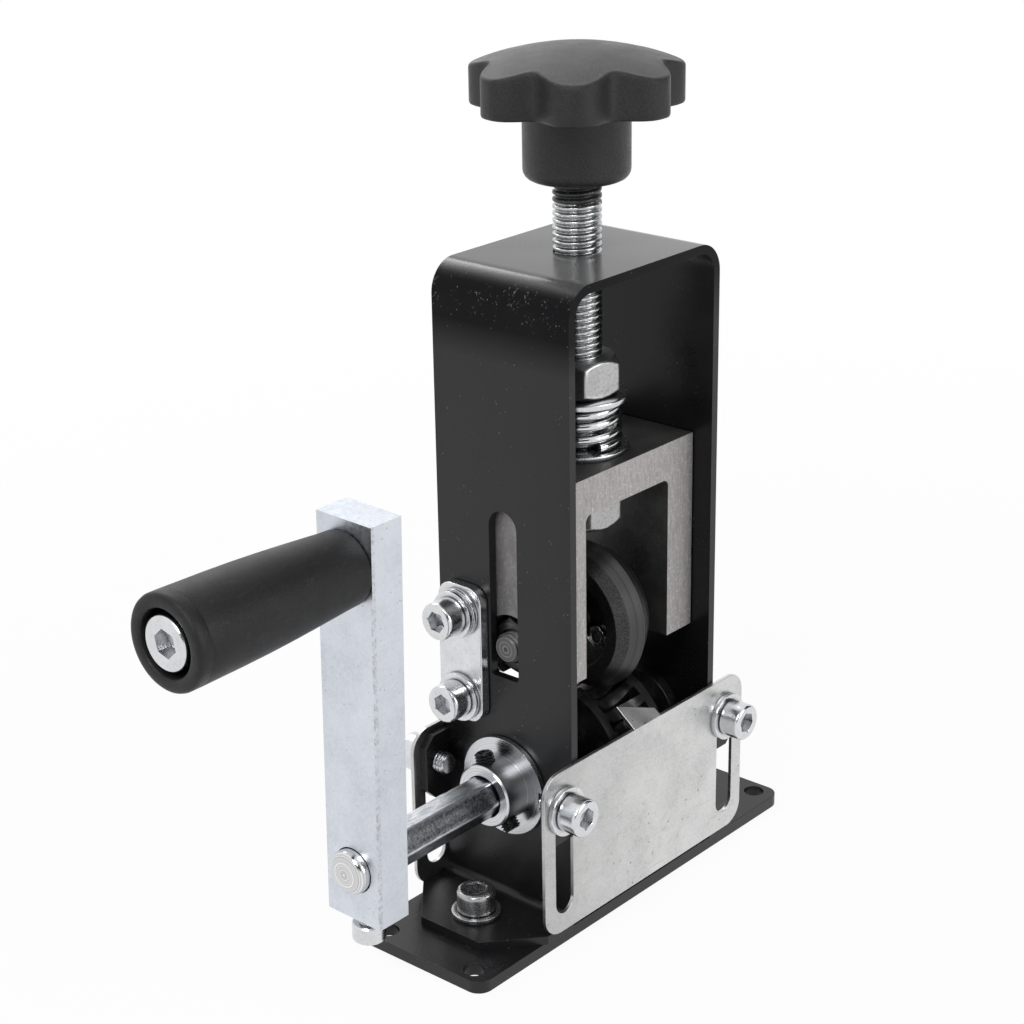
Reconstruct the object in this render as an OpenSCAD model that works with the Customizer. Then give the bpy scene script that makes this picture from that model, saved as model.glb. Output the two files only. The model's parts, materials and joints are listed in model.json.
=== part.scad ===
// Hand crank wire stripper: a bent sheet housing on a base plate, a carriage with a cutter disc
// that a knob feeds down on its screw, a toothed feed wheel under it and a crank with a grip.
// Lengths are in mm and angles in degrees.
// X runs along the drive shaft with the crank at -X, Y to the back, Z up.
// The origin is the centre of the base plate's underside.

/* [Base plate] */
// Length along the drive shaft
base_length = 130.3; // [124:0.1:150]
// Width across the drive shaft
base_width = 41.7; // [38:0.1:43.4]
// Thickness of the plate
base_thickness = 3.4; // [2.5:0.1:4]
// Radius of the plate's corners
base_corner_radius = 4; // [2:0.5:6]
// Distance of the mounting holes from the plate's ends
base_hole_end_distance = 4.55; // [4:0.05:8]
// Distance of the mounting holes from the plate's long sides
base_hole_side_distance = 6.05; // [5:0.05:8]
// Diameter of the mounting holes
base_hole_diameter = 5.6; // [4.5:0.1:6]

/* [Housing] */
// Outside width between the two walls
housing_width = 60; // [59.6:0.1:60.4]
// Depth of the bent sheet along Y
housing_depth = 43.4; // [43:0.1:44]
// Free height over the clamp nut, under the housing's top
nut_headroom = 24.3; // [22:0.1:30]
// Sheet thickness
sheet_thickness = 2.4; // [2.2:0.1:2.6]
// Outside radius of the top bends
top_bend_radius = 8; // [5:0.5:10]
// Inside radius of the bends above the feet
foot_bend_radius = 2.4; // [1.5:0.1:3]
// Length of a foot, measured from the wall's outer face
foot_length = 23.3; // [21:0.1:25]
// Half width of a foot at its outer end
foot_end_half_width = 10.1; // [9:0.1:14]
// Where the slanted foot corner begins, measured from the wall
foot_chamfer_distance = 9.9; // [6:0.1:12]
// Clearance of the cutter axle in the wall slots
wall_slot_clearance = 0.5; // [0.4:0.1:1]
// Reach of the wall slot below the cutter axle
wall_slot_below_axle = 7.9; // [6:0.1:10]
// Reach of the wall slot above the cutter axle
wall_slot_above_axle = 37.5; // [36:0.1:44]
// Corner radius at the lower end of the wall slot
wall_slot_corner_radius = 1; // [0.5:0.1:2]
// Length of the bent ears, measured from the wall's outer face
ear_length = 9.5; // [8.5:0.1:12]
// Reach of the ears below the guide screws
ear_below_screw = 9.9; // [7:0.1:12]
// Reach of the ears above the guide screws
ear_above_screw = 8.3; // [7:0.1:10]
// Size of the ears' cut corners
ear_chamfer = 3; // [1:0.5:5]

/* [Cap screws and washers] */
// Radius of the screw thread
cap_thread_radius = 3; // [2.8:0.1:3.2]
// Radius of the screw head
cap_head_radius = 5; // [4.5:0.1:5.5]
// Height of the screw head
cap_head_height = 6; // [5:0.1:6.5]
// Width across flats of the hex socket
cap_socket_width = 5; // [4:0.1:5.5]
// Depth of the hex socket
cap_socket_depth = 3; // [2:0.1:4]
// Chamfer round the screw head and the screw's tip
cap_chamfer = 0.5; // [0.2:0.1:0.8]
// How far the guide screws' tips stand out behind the ears
cap_tip_reach = 3; // [2.5:0.1:3.2]
// How far the foot screws' tips stay above the plate's underside
foot_tip_recess = 1.3; // [0.7:0.1:2.3]
// Distance of the foot screws from the wall's outer face
foot_screw_distance = 13; // [12:0.1:14]
// Outside radius of the washers
cap_washer_radius = 6.5; // [6:0.1:7]
// Thickness of the washers
cap_washer_thickness = 1.5; // [1.4:0.1:1.6]

/* [Keeper plate] */
// Thickness of the keeper plate
keeper_thickness = 3; // [2.5:0.1:3.2]
// Distance from the wall slot to the keeper plate
keeper_slot_distance = 0.8; // [0.6:0.1:1.2]
// Width of the keeper plate
keeper_width = 14.4; // [13.5:0.1:15]
// Distance from the collar's flange to the keeper plate
keeper_collar_distance = 2.6; // [0.5:0.1:3]
// Height of the keeper plate
keeper_height = 37.5; // [37:0.1:41]
// Radius of the keeper plate's corners
keeper_corner_radius = 4.5; // [1.5:0.5:5]
// Distance of the lower keeper screw from the plate's lower edge
keeper_low_distance = 6.6; // [6.6:0.1:9.5]
// Distance of the upper keeper screw from the plate's upper edge
keeper_high_distance = 7.3; // [6.5:0.1:8]

/* [Guide plates] */
// Distance from the slots' middle to the guide plate's ends
guide_end_distance = 7.7; // [7:0.1:9.5]
// Width of the guide plate below its slots
guide_edge_below_slot = 5.2; // [4:0.1:6]
// Width of the guide plate above its slots
guide_edge_above_slot = 5.4; // [4.5:0.1:6]
// Sheet thickness of the guide plates
guide_thickness = 1.1; // [0.9:0.1:1.3]
// Corner radius of the guide plates
guide_corner_radius = 6; // [3:0.5:7]
// Distance of the guide screws from the wall's outer face
guide_screw_distance = 4.3; // [4:0.1:4.6]
// Clearance of the guide screws in the slots
guide_slot_clearance = 0.5; // [0.3:0.1:0.8]
// Length of the slots
guide_slot_length = 35.2; // [32:0.1:36]
// Reach of the slots above the guide screws
guide_slot_above_screw = 5.7; // [5.5:0.1:6.1]
// Height of the guide screws above the drive shaft
guide_screw_above_shaft = 1.9; // [1.6:0.1:2.2]
// How much lower the rear guide plate is set than the front one
rear_guide_drop = 1.3; // [0:0.1:2]
// Width of the bent tab at its root
tab_width = 11; // [9:0.1:12]
// Length of the tab's long side
tab_long = 7.9; // [6:0.1:8.2]
// Length of the tab's short side
tab_short = 2.6; // [2:0.1:4]
// Angle by which the tab leaves the upright plate
tab_angle = 52; // [50:1:60]

/* [Knob] */
// Number of lobes
lobe_count = 7; // [7]
// Radius of the knob over its lobes
knob_radius = 26.5; // [26.4:0.1:26.6]
// Radius of one lobe
lobe_radius = 6.6; // [6.5:0.1:6.7]
// Distance from the knob's radius out to the hollows' centres
hollow_offset = 0.2; // [0.1:0.1:0.3]
// Radius of one hollow between lobes
hollow_radius = 5.7; // [5.6:0.1:5.8]
// Direction in which one lobe points
lobe_angle = -142; // [-180:1:0]
// Distance from the housing to the knob's hub
knob_standoff = 19.1; // [18:0.1:22]
// Height of the hub under the lobed rim
knob_hub_height = 16.6; // [15:0.1:18]
// Height of the rim's edge
knob_rim_height = 9.6; // [8:0.1:10.5]
// Height of the dome above the rim's edge
knob_dome_height = 5.4; // [4:0.1:7]
// Radius of the hub
knob_hub_radius = 13.3; // [12:0.1:15]
// Chamfer round the hub's lower edge
knob_hub_chamfer = 1.2; // [0.5:0.1:2]
// Depth of the screw's end inside the knob, measured from the underside
knob_socket_depth = 15; // [12:0.5:18]

/* [Lead screw] */
// Thread radius of the lead screw
lead_radius = 6; // [5.8:0.1:6.1]
// How far the lead screw stands out under the retaining nut
lead_end_reach = 1; // [0.5:0.1:2.5]
// Chamfer at the screw's ends
lead_chamfer = 1; // [0.5:0.1:1.5]
// Width across flats of both nuts
lead_nut_width = 19; // [18:0.1:19.5]
// Chamfer round the nuts' corners
lead_nut_chamfer = 0.6; // [0.3:0.1:0.8]
// Height of the clamp nut above the spring
clamp_nut_height = 9.8; // [9:0.1:10]
// Direction of one corner of the clamp nut
clamp_nut_angle = 48.8; // [0:0.1:60]
// Height of the retaining nut under the carriage
retaining_nut_height = 10; // [9:0.1:10.2]
// Direction of one corner of the retaining nut
retaining_nut_angle = 57.9; // [0:0.1:60]
// Radius of the two spring washers
spring_washer_radius = 12.8; // [12.4:0.1:13]
// Thickness of the two spring washers
spring_washer_thickness = 1.5; // [1.3:0.1:1.6]

/* [Spring] */
// Height of the spring
spring_height = 12.1; // [12:0.1:12.6]
// Mean radius of the coils
spring_radius = 10.1; // [9.8:0.1:10.4]
// Radius of the spring wire
spring_wire_radius = 1.15; // [1:0.05:1.2]
// Turns of close winding at each end
spring_close_turns = 1; // [1]
// Pitch of the close winding
spring_close_pitch = 2.62; // [2.6:0.01:2.7]
// Number of turns
spring_turns = 3.25; // [3.125:0.125:3.25]
// Direction in which the lower end of the wire lies
spring_start_angle = -121; // [-180:1:180]

/* [Carriage] */
// Gap between the carriage and each wall
carriage_clearance = 0.33; // [0.3:0.01:0.5]
// Depth of the carriage along Y
carriage_depth = 32; // [30:0.5:34]
// Height of the carriage above the cutter axle
carriage_above_axle = 46.1; // [45.5:0.1:46.5]
// Thickness of the web
web_thickness = 10; // [9:0.1:10.2]
// Thickness of each leg
leg_thickness = 10.5; // [10:0.1:10.8]
// Reach of the carriage's legs below the cutter axle
carriage_below_axle = 8; // [7:0.1:9]
// Radius in the inner corners
carriage_fillet = 2; // [1:0.1:3]
// Distance from the axle nuts' flats to the recess round them
axle_recess_clearance = 2; // [1.6:0.1:2.4]
// How far the axle nuts stay inside the carriage's sides
axle_nut_inset = 0.5; // [0.4:0.1:1]

/* [Cutter] */
// Gap between the cutter's side rings and the feed wheel
cutter_wheel_gap = 1.2; // [1.2:0.1:1.5]
// Middle plane of the cutter
cutter_x = 1; // [0.5:0.1:2]
// Height of the bevel from the side rings' shoulders to the sharp edge
bevel_height = 2.2; // [2:0.1:2.4]
// Reach of the side rings' shoulders past their outer ends
shoulder_reach = 1.8; // [1.5:0.1:2]
// Width of the bevel on each side ring
side_bevel_width = 2.1; // [1.8:0.1:2.4]
// Thickness of the blade
blade_thickness = 3.6; // [3:0.1:4]
// Radius of the side rings at their outer ends
side_ring_radius = 16.9; // [16.5:0.1:17]
// Thickness of the side rings
side_ring_thickness = 5.1; // [4.8:0.1:5.4]
// Width of the side rings' walls round the recess
side_ring_wall = 3.4; // [3:0.1:3.6]
// Depth of the recess in the side rings' end faces
side_recess_depth = 3.4; // [3.3:0.1:3.6]
// Number of small screws through the cutter
pack_screw_count = 3; // [3]
// Radius of the circle of small screws
pack_screw_pitch_radius = 9.75; // [9.7:0.05:9.8]
// Direction of the first small screw
pack_screw_angle = -164.5; // [-180:0.5:180]
// Thread radius of the small screws
pack_screw_radius = 1.5; // [1.4:0.1:1.6]
// Head radius of the small screws
pack_head_radius = 2.75; // [2.6:0.05:2.8]
// Head height of the small screws
pack_head_height = 3; // [2.6:0.1:3.1]
// Width across flats of the small screws' sockets
pack_socket_width = 2.5; // [2:0.1:2.6]
// Depth of the small screws' sockets
pack_socket_depth = 1.5; // [1:0.1:2]
// Width across flats of the small nuts
pack_nut_width = 5.6; // [5.4:0.1:5.7]
// Height of the small nuts
pack_nut_height = 2.4; // [2.2:0.1:2.5]
// How far the small screws' tips stay inside the nuts
pack_tip_recess = 0.4; // [0.2:0.1:0.8]
// Wall of the cutter bush
cutter_bush_wall = 1.2; // [1.1:0.1:1.4]
// Reach of the cutter bush's flange past its body
cutter_bush_flange_reach = 1; // [0.8:0.1:1.1]
// Thickness of the cutter bush's flange
cutter_bush_flange_thickness = 1; // [0.8:0.1:1.5]
// Radius of the cutter axle
axle_radius = 4; // [3.9:0.1:4.2]
// How far the axle's ends stay inside the walls' outer faces
axle_end_inset = 0.4; // [0.2:0.1:1]
// Chamfer at the axle's ends
axle_chamfer = 0.6; // [0.3:0.1:1]
// Width across flats of the axle nuts
axle_nut_width = 13; // [12.6:0.1:13.2]
// Height of the axle nuts
axle_nut_height = 5; // [4.5:0.1:5.3]
// Wall of the axle spacers
axle_spacer_wall = 2.5; // [2:0.1:3]

/* [Feed wheel] */
// Height of the drive shaft above the base plate
shaft_height = 35; // [34.8:0.1:35]
// Middle plane of the feed wheel
wheel_x = 1.5; // [1:0.1:2]
// Width of the feed wheel
wheel_width = 21; // [20:0.1:22]
// Gap between the feed wheel and the guide plates
wheel_guide_gap = 1.9; // [1.9:0.1:2.3]
// Depth of the feed wheel's groove
groove_depth = 4; // [3.8:0.1:4.2]
// Half width of the groove at the rim
groove_half_width = 6.5; // [6.2:0.1:7]
// Number of teeth across the groove
tooth_count = 24; // [24]
// Depth of the gaps between teeth under the groove
tooth_height = 1.5; // [1:0.1:1.8]
// Half width of the gaps between teeth at the rim
gap_half_width = 1.6; // [1.2:0.1:1.7]
// How far the gaps reach into the rims
gap_rim_reach = 1.2; // [0.6:0.1:1.6]
// Thread radius of the set screws
set_screw_radius = 2.5; // [2.4:0.1:2.6]
// Length of the feed wheel's set screw
wheel_set_screw_length = 7.4; // [6:0.1:8]
// Width across flats of the set screws' sockets
set_socket_width = 2.5; // [2:0.1:2.6]
// Depth of the set screws' sockets
set_socket_depth = 2; // [1.5:0.1:2.5]

/* [Drive shaft and crank] */
// Width across flats of the hex shaft
shaft_width = 10; // [9.8:0.1:10.1]
// Direction of one flat of the hex shaft, from +Y towards +Z
shaft_flat_angle = 90; // [45:1:105]
// How far the shaft stands out of the right collar
shaft_end_reach = 2; // [0.6:0.1:4.6]
// Chamfer at the shaft's right end
shaft_chamfer = 0.6; // [0.3:0.1:1]
// How far the shaft's domed left end stands out of the crank arm
shaft_dome_reach = 3.2; // [2.5:0.1:3.5]
// Radius of the dome on the shaft's left end
shaft_dome_radius = 6.2; // [6:0.1:6.6]
// Radius of the flanges inside the walls
bush_flange_radius = 13; // [12:0.1:13.4]
// Thickness of the flanges inside the walls
bush_flange_thickness = 3.6; // [3:0.1:4]
// Radius of the bushes where they pass the walls
bush_spigot_radius = 8; // [7.6:0.1:8.4]
// Gap between the walls and the turning collars
collar_gap = 0.3; // [0.2:0.1:0.4]
// Radius of the collars' flanges
collar_flange_radius = 13.4; // [13:0.1:14]
// Thickness of the collars' flanges
collar_flange_thickness = 1.4; // [1.2:0.1:1.8]
// Radius of the collars' necks
collar_neck_radius = 8.5; // [8.2:0.1:9]
// Distance from the wall to the outer end of the collars' necks
collar_reach = 9.4; // [9:0.1:10]
// Chamfer round the neck's end
collar_chamfer = 0.5; // [0.2:0.1:0.8]
// Width of the notch in the collar flange
collar_notch_width = 4; // [3:0.1:5]
// Depth of the notch in the collar flange
collar_notch_depth = 1.4; // [1:0.1:2]
// Distance of the collar set screws from the necks' outer end
collar_screw_end_distance = 3.4; // [3:0.1:3.8]
// Distance from the shaft's flats to the collar set screws' tips
collar_screw_tip_distance = 0.9; // [0.9:0.05:1]
// Length of the collar set screws
collar_screw_length = 5.1; // [4.5:0.1:5.5]
// Directions of the collar set screws, from +Y towards +Z
collar_screw_angles = [76.6, -130];
// Distance from the wall to the crank arm
arm_wall_distance = 46.9; // [46:0.1:48]
// Thickness of the crank arm
arm_thickness = 10; // [9.5:0.1:10.5]
// Width of the crank arm
arm_width = 17.4; // [17:0.1:18]
// Lower end of the arm, measured down from the shaft
arm_below_shaft = 13.7; // [12.5:0.1:14]
// Distance from the grip's axis to the arm's upper end
arm_above_grip = 11.9; // [10.5:0.1:14]
// Angle by which the arm leans to the front
arm_lean = 1.3; // [0:0.1:5]
// Chamfer round the shaft hole's mouth
arm_hole_chamfer = 0.2; // [0.2:0.1:0.5]
// Distance of the clamp screw from the arm's inner face
clamp_screw_inset = 5; // [4.5:0.1:6]
// Radius of the clamp screw's head
clamp_head_radius = 4.25; // [4:0.05:4.5]
// Height of the clamp screw's head
clamp_head_height = 5; // [4.5:0.1:5.5]
// Width across flats of the clamp screw's socket
clamp_socket_width = 4; // [3.5:0.1:4.2]
// Gap between the arm's end and the clamp screw's head
clamp_head_gap = 2.8; // [0.5:0.1:3]
// Gap between the shaft and the clamp screw's tip
clamp_tip_gap = 0.05; // [0.05:0.05:0.2]

/* [Grip] */
// Distance of the grip from the shaft
grip_distance = 79.9; // [78:0.1:82]
// Length of the grip
grip_length = 54.1; // [51:0.1:57]
// Gap between the grip and the arm
grip_gap = 0.3; // [0.2:0.1:0.5]
// Radius of the grip at its outer end
grip_end_radius = 11.5; // [11:0.1:12]
// Radius of the grip at the middle
grip_middle_radius = 10.85; // [10.4:0.05:11]
// Radius of the grip next to the arm
grip_arm_radius = 9.25; // [9:0.05:10]
// Chamfer round the grip's outer end
grip_chamfer = 0.8; // [0.4:0.1:1.2]
// Clearance round the spindle's head in the grip's end
grip_recess_clearance = 1.4; // [1:0.1:1.8]
// Radius of the spindle
spindle_radius = 4; // [3.9:0.1:4.2]
// Radius of the spindle's head
spindle_head_radius = 6.6; // [6.3:0.1:6.8]
// Height of the spindle's head
spindle_head_height = 8; // [7:0.1:8.5]
// Width across flats of the spindle's socket
spindle_socket_width = 6; // [5:0.1:6.2]
// Depth of the spindle's socket
spindle_socket_depth = 4; // [3:0.1:5]
// How far the spindle's tip stays inside the arm's inner face
spindle_tip_recess = 1; // [0.5:0.1:2]

/* [Fits] */
// Radial clearance of threads and shafts in their holes
fit_clearance = 0.05; // [0.03:0.01:0.08]
// Radial clearance of screws in washers and plates
loose_clearance = 0.3; // [0.2:0.05:0.4]
// Gap left between parts that turn past each other
running_gap = 0.3; // [0.3:0.05:0.4]
// Gap between washers that lie on each other
stack_gap = 0.02; // [0.01:0.01:0.05]

/* [Hidden] */
$fn = 64;
// How far a cut runs past the surface it opens, and a piece into the one it joins
overrun = 0.5;
colour_black = [0.07, 0.07, 0.075];
colour_steel = [0.62, 0.63, 0.64];
colour_zinc = [0.78, 0.80, 0.83];
colour_dark = [0.16, 0.16, 0.17];
colour_grey = [0.45, 0.43, 0.42];

wall_outer = housing_width / 2;
wall_inner = wall_outer - sheet_thickness;
half_depth = housing_depth / 2;
foot_top_z = base_thickness + sheet_thickness;
shaft_z = base_thickness + shaft_height;
wheel_radius = half_depth - wheel_guide_gap;
cutter_z = shaft_z + wheel_radius + cutter_wheel_gap + side_ring_radius;

base_hole_x = base_length / 2 - base_hole_end_distance;
base_hole_y = base_width / 2 - base_hole_side_distance;
foot_reach = wall_outer + foot_length;
foot_chamfer_x = wall_outer + foot_chamfer_distance;
foot_screw_x = wall_outer + foot_screw_distance;
foot_screw_length = cap_washer_thickness + sheet_thickness + base_thickness - foot_tip_recess;
cap_length = cap_washer_thickness + guide_thickness + sheet_thickness + cap_tip_reach;

wall_slot_width = 2 * (axle_radius + wall_slot_clearance);
wall_slot_bottom_z = cutter_z - wall_slot_below_axle;
wall_slot_top_z = cutter_z + wall_slot_above_axle;
keeper_face = wall_outer + keeper_thickness;
keeper_y = wall_slot_width / 2 + keeper_slot_distance + keeper_width / 2;
keeper_bottom_z = shaft_z + collar_flange_radius + keeper_collar_distance;
keeper_low_z = keeper_bottom_z + keeper_low_distance;
keeper_high_z = keeper_bottom_z + keeper_height - keeper_high_distance;

guide_back = half_depth + guide_thickness;
guide_slot_x = wall_outer + guide_screw_distance;
guide_half_length = guide_slot_x + guide_end_distance;
guide_screw_z = shaft_z + guide_screw_above_shaft;
guide_slot_width = 2 * (cap_thread_radius + guide_slot_clearance);
guide_slot_top_z = guide_screw_z + guide_slot_above_screw;
guide_slot_bottom_z = guide_slot_top_z - guide_slot_length;
guide_bottom_z = guide_slot_bottom_z - guide_edge_below_slot;
guide_top_z = guide_slot_top_z + guide_edge_above_slot;
ear_reach = wall_outer + ear_length;
ear_bottom_z = guide_screw_z - ear_below_screw;
ear_top_z = guide_screw_z + ear_above_screw;

carriage_half_width = wall_inner - carriage_clearance;
carriage_top_z = cutter_z + carriage_above_axle;
web_bottom_z = carriage_top_z - web_thickness;
leg_bottom_z = cutter_z - carriage_below_axle;
leg_inner = carriage_half_width - leg_thickness;
axle_recess_radius = axle_nut_width / 2 + axle_recess_clearance;
axle_recess_depth = axle_nut_height + axle_nut_inset;
lead_bottom_z = web_bottom_z - retaining_nut_height - lead_end_reach;
lower_washer_top_z = carriage_top_z + spring_washer_thickness;
spring_top_z = lower_washer_top_z + spring_height;
upper_washer_top_z = spring_top_z + spring_washer_thickness;
clamp_nut_top_z = upper_washer_top_z + clamp_nut_height;
housing_top_z = clamp_nut_top_z + nut_headroom + sheet_thickness;

lobe_pitch_radius = knob_radius - lobe_radius;
hollow_pitch_radius = knob_radius + hollow_offset;
knob_bottom_z = housing_top_z + knob_standoff;
knob_rim_z = knob_bottom_z + knob_hub_height;
knob_top_z = knob_rim_z + knob_rim_height + knob_dome_height;
knob_socket_z = knob_bottom_z + knob_socket_depth;

axle_half_length = wall_outer - axle_end_inset;
axle_spacer_radius = axle_radius + axle_spacer_wall;
cutter_bush_radius = axle_radius + cutter_bush_wall;
cutter_bush_flange_radius = cutter_bush_radius + cutter_bush_flange_reach;
shoulder_radius = side_ring_radius + shoulder_reach;
blade_edge_radius = shoulder_radius + bevel_height;
blade_bevel_radius = shoulder_radius
  + bevel_height * side_bevel_width / (side_bevel_width + blade_thickness / 2);
side_recess_radius = side_ring_radius - side_ring_wall;
blade_left = cutter_x - blade_thickness / 2;
blade_right = cutter_x + blade_thickness / 2;
ring_left = blade_left - side_ring_thickness;
ring_right = blade_right + side_ring_thickness;
recess_left = ring_left + side_recess_depth;
recess_right = ring_right - side_recess_depth;
groove_bottom_radius = wheel_radius - groove_depth;
gap_bottom_radius = groove_bottom_radius - tooth_height;

shaft_corner_radius = shaft_width / 2 / cos(30);
shaft_hole_radius = shaft_corner_radius + fit_clearance;
collar_end_x = wall_outer + collar_reach;
collar_screw_x = collar_end_x - collar_screw_end_distance;
collar_screw_inner_radius = shaft_width / 2 + collar_screw_tip_distance;
shaft_right_x = collar_end_x + shaft_end_reach;
arm_inner_x = -wall_outer - arm_wall_distance;
arm_outer_x = arm_inner_x - arm_thickness;
arm_above_shaft = grip_distance + arm_above_grip;
clamp_screw_x = arm_inner_x - clamp_screw_inset;
// Angle between the clamp screw and the nearest flat of the shaft
clamp_flat_angle = (arm_lean - shaft_flat_angle + 300) % 60 - 30;
clamp_tip_distance = shaft_corner_radius * cos(30 - abs(clamp_flat_angle)) + clamp_tip_gap;
shaft_left_x = arm_outer_x - shaft_dome_reach;
shaft_dome_x = arm_outer_x + sqrt(pow(shaft_dome_radius, 2) - pow(shaft_corner_radius, 2));
grip_end_x = arm_outer_x - grip_gap - grip_length;
grip_recess_radius = spindle_head_radius + grip_recess_clearance;

// Rectangle with four rounded corners, centred in x, standing on y = 0.
module rounded_sheet(width, height, radius) {
  translate([radius - width / 2, 0])
    square([width - 2 * radius, height]);
  translate([-width / 2, radius])
    square([width, height - 2 * radius]);
  for (x = [radius - width / 2, width / 2 - radius])
    for (y = [radius, height - radius])
      translate([x, y])
        circle(r = radius);
}

// Slot with round ends, centred in x, from y = 0 up.
module round_slot(width, height) {
  translate([-width / 2, width / 2])
    square([width, height - width]);
  for (y = [width / 2, height - width / 2])
    translate([0, y])
      circle(d = width);
}

// Turns a drawing in x and z, made on the flat, upright and gives it a depth centred in y.
module upright(depth) {
  translate([0, depth / 2, 0])
    rotate([90, 0, 0])
      linear_extrude(depth)
        children();
}

// Round bar along X from one place to another.
module bar_x(radius, from, to) {
  translate([from, 0, 0])
    rotate([0, 90, 0])
      cylinder(r = radius, h = to - from);
}

// Round bar along X with a chamfer at each end.
module pin_x(radius, from, to, chamfer) {
  translate([from, 0, 0])
    rotate([0, 90, 0])
      pin(radius, to - from, chamfer);
}

// Round bar along Z with a chamfer at each end.
module pin(radius, length, chamfer) {
  rotate_extrude()
    polygon([[0, 0], [radius - chamfer, 0], [radius, chamfer], [radius, length - chamfer],
      [radius - chamfer, length], [0, length]]);
}

// Hex bar along Z, with a corner along +X.
module hex_bar(width, length) {
  linear_extrude(length)
    circle(r = width / 2 / cos(30), $fn = 6);
}

// Hex nut along Z with chamfered corners and a plain hole.
module nut(width, height, hole_radius, chamfer) {
  corner = width / 2 / cos(30);
  difference() {
    intersection() {
      hex_bar(width, height);
      rotate_extrude()
        polygon([[0, 0], [corner - 2 * chamfer, 0], [corner, chamfer], [corner, height - chamfer],
          [corner - 2 * chamfer, height], [0, height]]);
    }
    translate([0, 0, -overrun])
      cylinder(r = hole_radius, h = height + 2 * overrun);
  }
}

// Flat washer along Z.
module washer(radius, thickness, hole_radius) {
  difference() {
    cylinder(r = radius, h = thickness);
    translate([0, 0, -overrun])
      cylinder(r = hole_radius, h = thickness + 2 * overrun);
  }
}

// Socket cap screw along Z, with the underside of its head at z = 0 and the head above.
module cap_screw(radius, length, head_radius, head_height, socket_width, socket_depth, chamfer) {
  difference() {
    rotate_extrude()
      polygon([[0, -length], [radius - chamfer, -length], [radius, chamfer - length], [radius, 0],
        [head_radius, 0], [head_radius, head_height - chamfer], [head_radius - chamfer, head_height],
        [0, head_height]]);
    translate([0, 0, head_height - socket_depth])
      hex_bar(socket_width, socket_depth + overrun);
  }
}

module cap(length) {
  cap_screw(cap_thread_radius, length, cap_head_radius, cap_head_height, cap_socket_width,
    cap_socket_depth, cap_chamfer);
}

module cap_washer() {
  washer(cap_washer_radius, cap_washer_thickness, cap_thread_radius + loose_clearance);
}

// Set screw along +Y, from an inner to an outer distance, with its socket outside.
module set_screw(inner, outer) {
  difference() {
    translate([0, inner, 0])
      rotate([-90, 0, 0])
        pin(set_screw_radius, outer - inner, cap_chamfer);
    translate([0, outer - set_socket_depth, 0])
      rotate([-90, 0, 0])
        hex_bar(set_socket_width, set_socket_depth + overrun);
  }
}

module base_plate() {
  color(colour_black)
    difference() {
      translate([0, -base_width / 2, 0])
        linear_extrude(base_thickness)
          rounded_sheet(base_length, base_width, base_corner_radius);
      for (x = [-1, 1])
        for (y = [-1, 1])
          translate([x * base_hole_x, y * base_hole_y, -overrun])
            cylinder(d = base_hole_diameter, h = base_thickness + 2 * overrun);
      for (x = [-1, 1])
        translate([x * foot_screw_x, 0, -overrun])
          cylinder(r = cap_thread_radius + fit_clearance, h = base_thickness + 2 * overrun);
    }
}

// Section of the bent sheet: top, walls and feet, drawn in x and z.
module housing_section() {
  wall_bottom_z = foot_top_z + foot_bend_radius;
  wall_height = housing_top_z - wall_bottom_z;
  translate([0, wall_bottom_z])
    difference() {
      section_cap(wall_outer, wall_height, top_bend_radius);
      translate([0, -overrun])
        section_cap(wall_inner, wall_height - sheet_thickness + overrun,
          top_bend_radius - sheet_thickness);
    }
  for (side = [0, 1])
    mirror([side, 0])
      foot_section();
}

// Outline with two rounded upper corners.
module section_cap(half_width, height, radius) {
  translate([-half_width, 0])
    square([2 * half_width, height - radius]);
  translate([radius - half_width, 0])
    square([2 * (half_width - radius), height]);
  for (side = [-1, 1])
    translate([side * (half_width - radius), height - radius])
      circle(r = radius);
}

// Bend under a wall and the foot that runs out from it.
module foot_section() {
  bend_x = wall_outer + foot_bend_radius;
  bend_z = foot_top_z + foot_bend_radius;
  intersection() {
    translate([bend_x, bend_z])
      difference() {
        circle(r = foot_bend_radius + sheet_thickness);
        circle(r = foot_bend_radius);
      }
    translate([wall_inner, base_thickness])
      square([foot_bend_radius + sheet_thickness, foot_bend_radius + sheet_thickness]);
  }
  translate([bend_x, base_thickness])
    square([foot_reach - bend_x, sheet_thickness]);
}

// Outline that trims the slanted corners of the feet.
module foot_outline() {
  polygon([[foot_reach, foot_end_half_width], [foot_chamfer_x, half_depth],
    [-foot_chamfer_x, half_depth], [-foot_reach, foot_end_half_width],
    [-foot_reach, -foot_end_half_width], [-foot_chamfer_x, -half_depth],
    [foot_chamfer_x, -half_depth], [foot_reach, -foot_end_half_width]]);
}

// One bent ear at the front right, with its tapped hole.
module ear() {
  difference() {
    translate([0, sheet_thickness - half_depth, 0])
      rotate([90, 0, 0])
        linear_extrude(sheet_thickness)
          polygon([[wall_inner + overrun, ear_bottom_z], [ear_reach - ear_chamfer, ear_bottom_z],
            [ear_reach, ear_bottom_z + ear_chamfer], [ear_reach, ear_top_z - ear_chamfer],
            [ear_reach - ear_chamfer, ear_top_z], [wall_inner + overrun, ear_top_z]]);
    translate([guide_slot_x, overrun - half_depth + sheet_thickness, guide_screw_z])
      rotate([90, 0, 0])
        cylinder(r = cap_thread_radius + fit_clearance, h = sheet_thickness + 2 * overrun);
  }
}

// Slot through both walls: round at the top, nearly square below.
module wall_slot() {
  slot_height = wall_slot_top_z - wall_slot_bottom_z;
  rotate([90, 0, 90])
    translate([0, wall_slot_bottom_z, -wall_outer - overrun])
      linear_extrude(housing_width + 2 * overrun) {
        rounded_sheet(wall_slot_width, slot_height - wall_slot_width / 2,
          wall_slot_corner_radius);
        round_slot(wall_slot_width, slot_height);
      }
}

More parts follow.
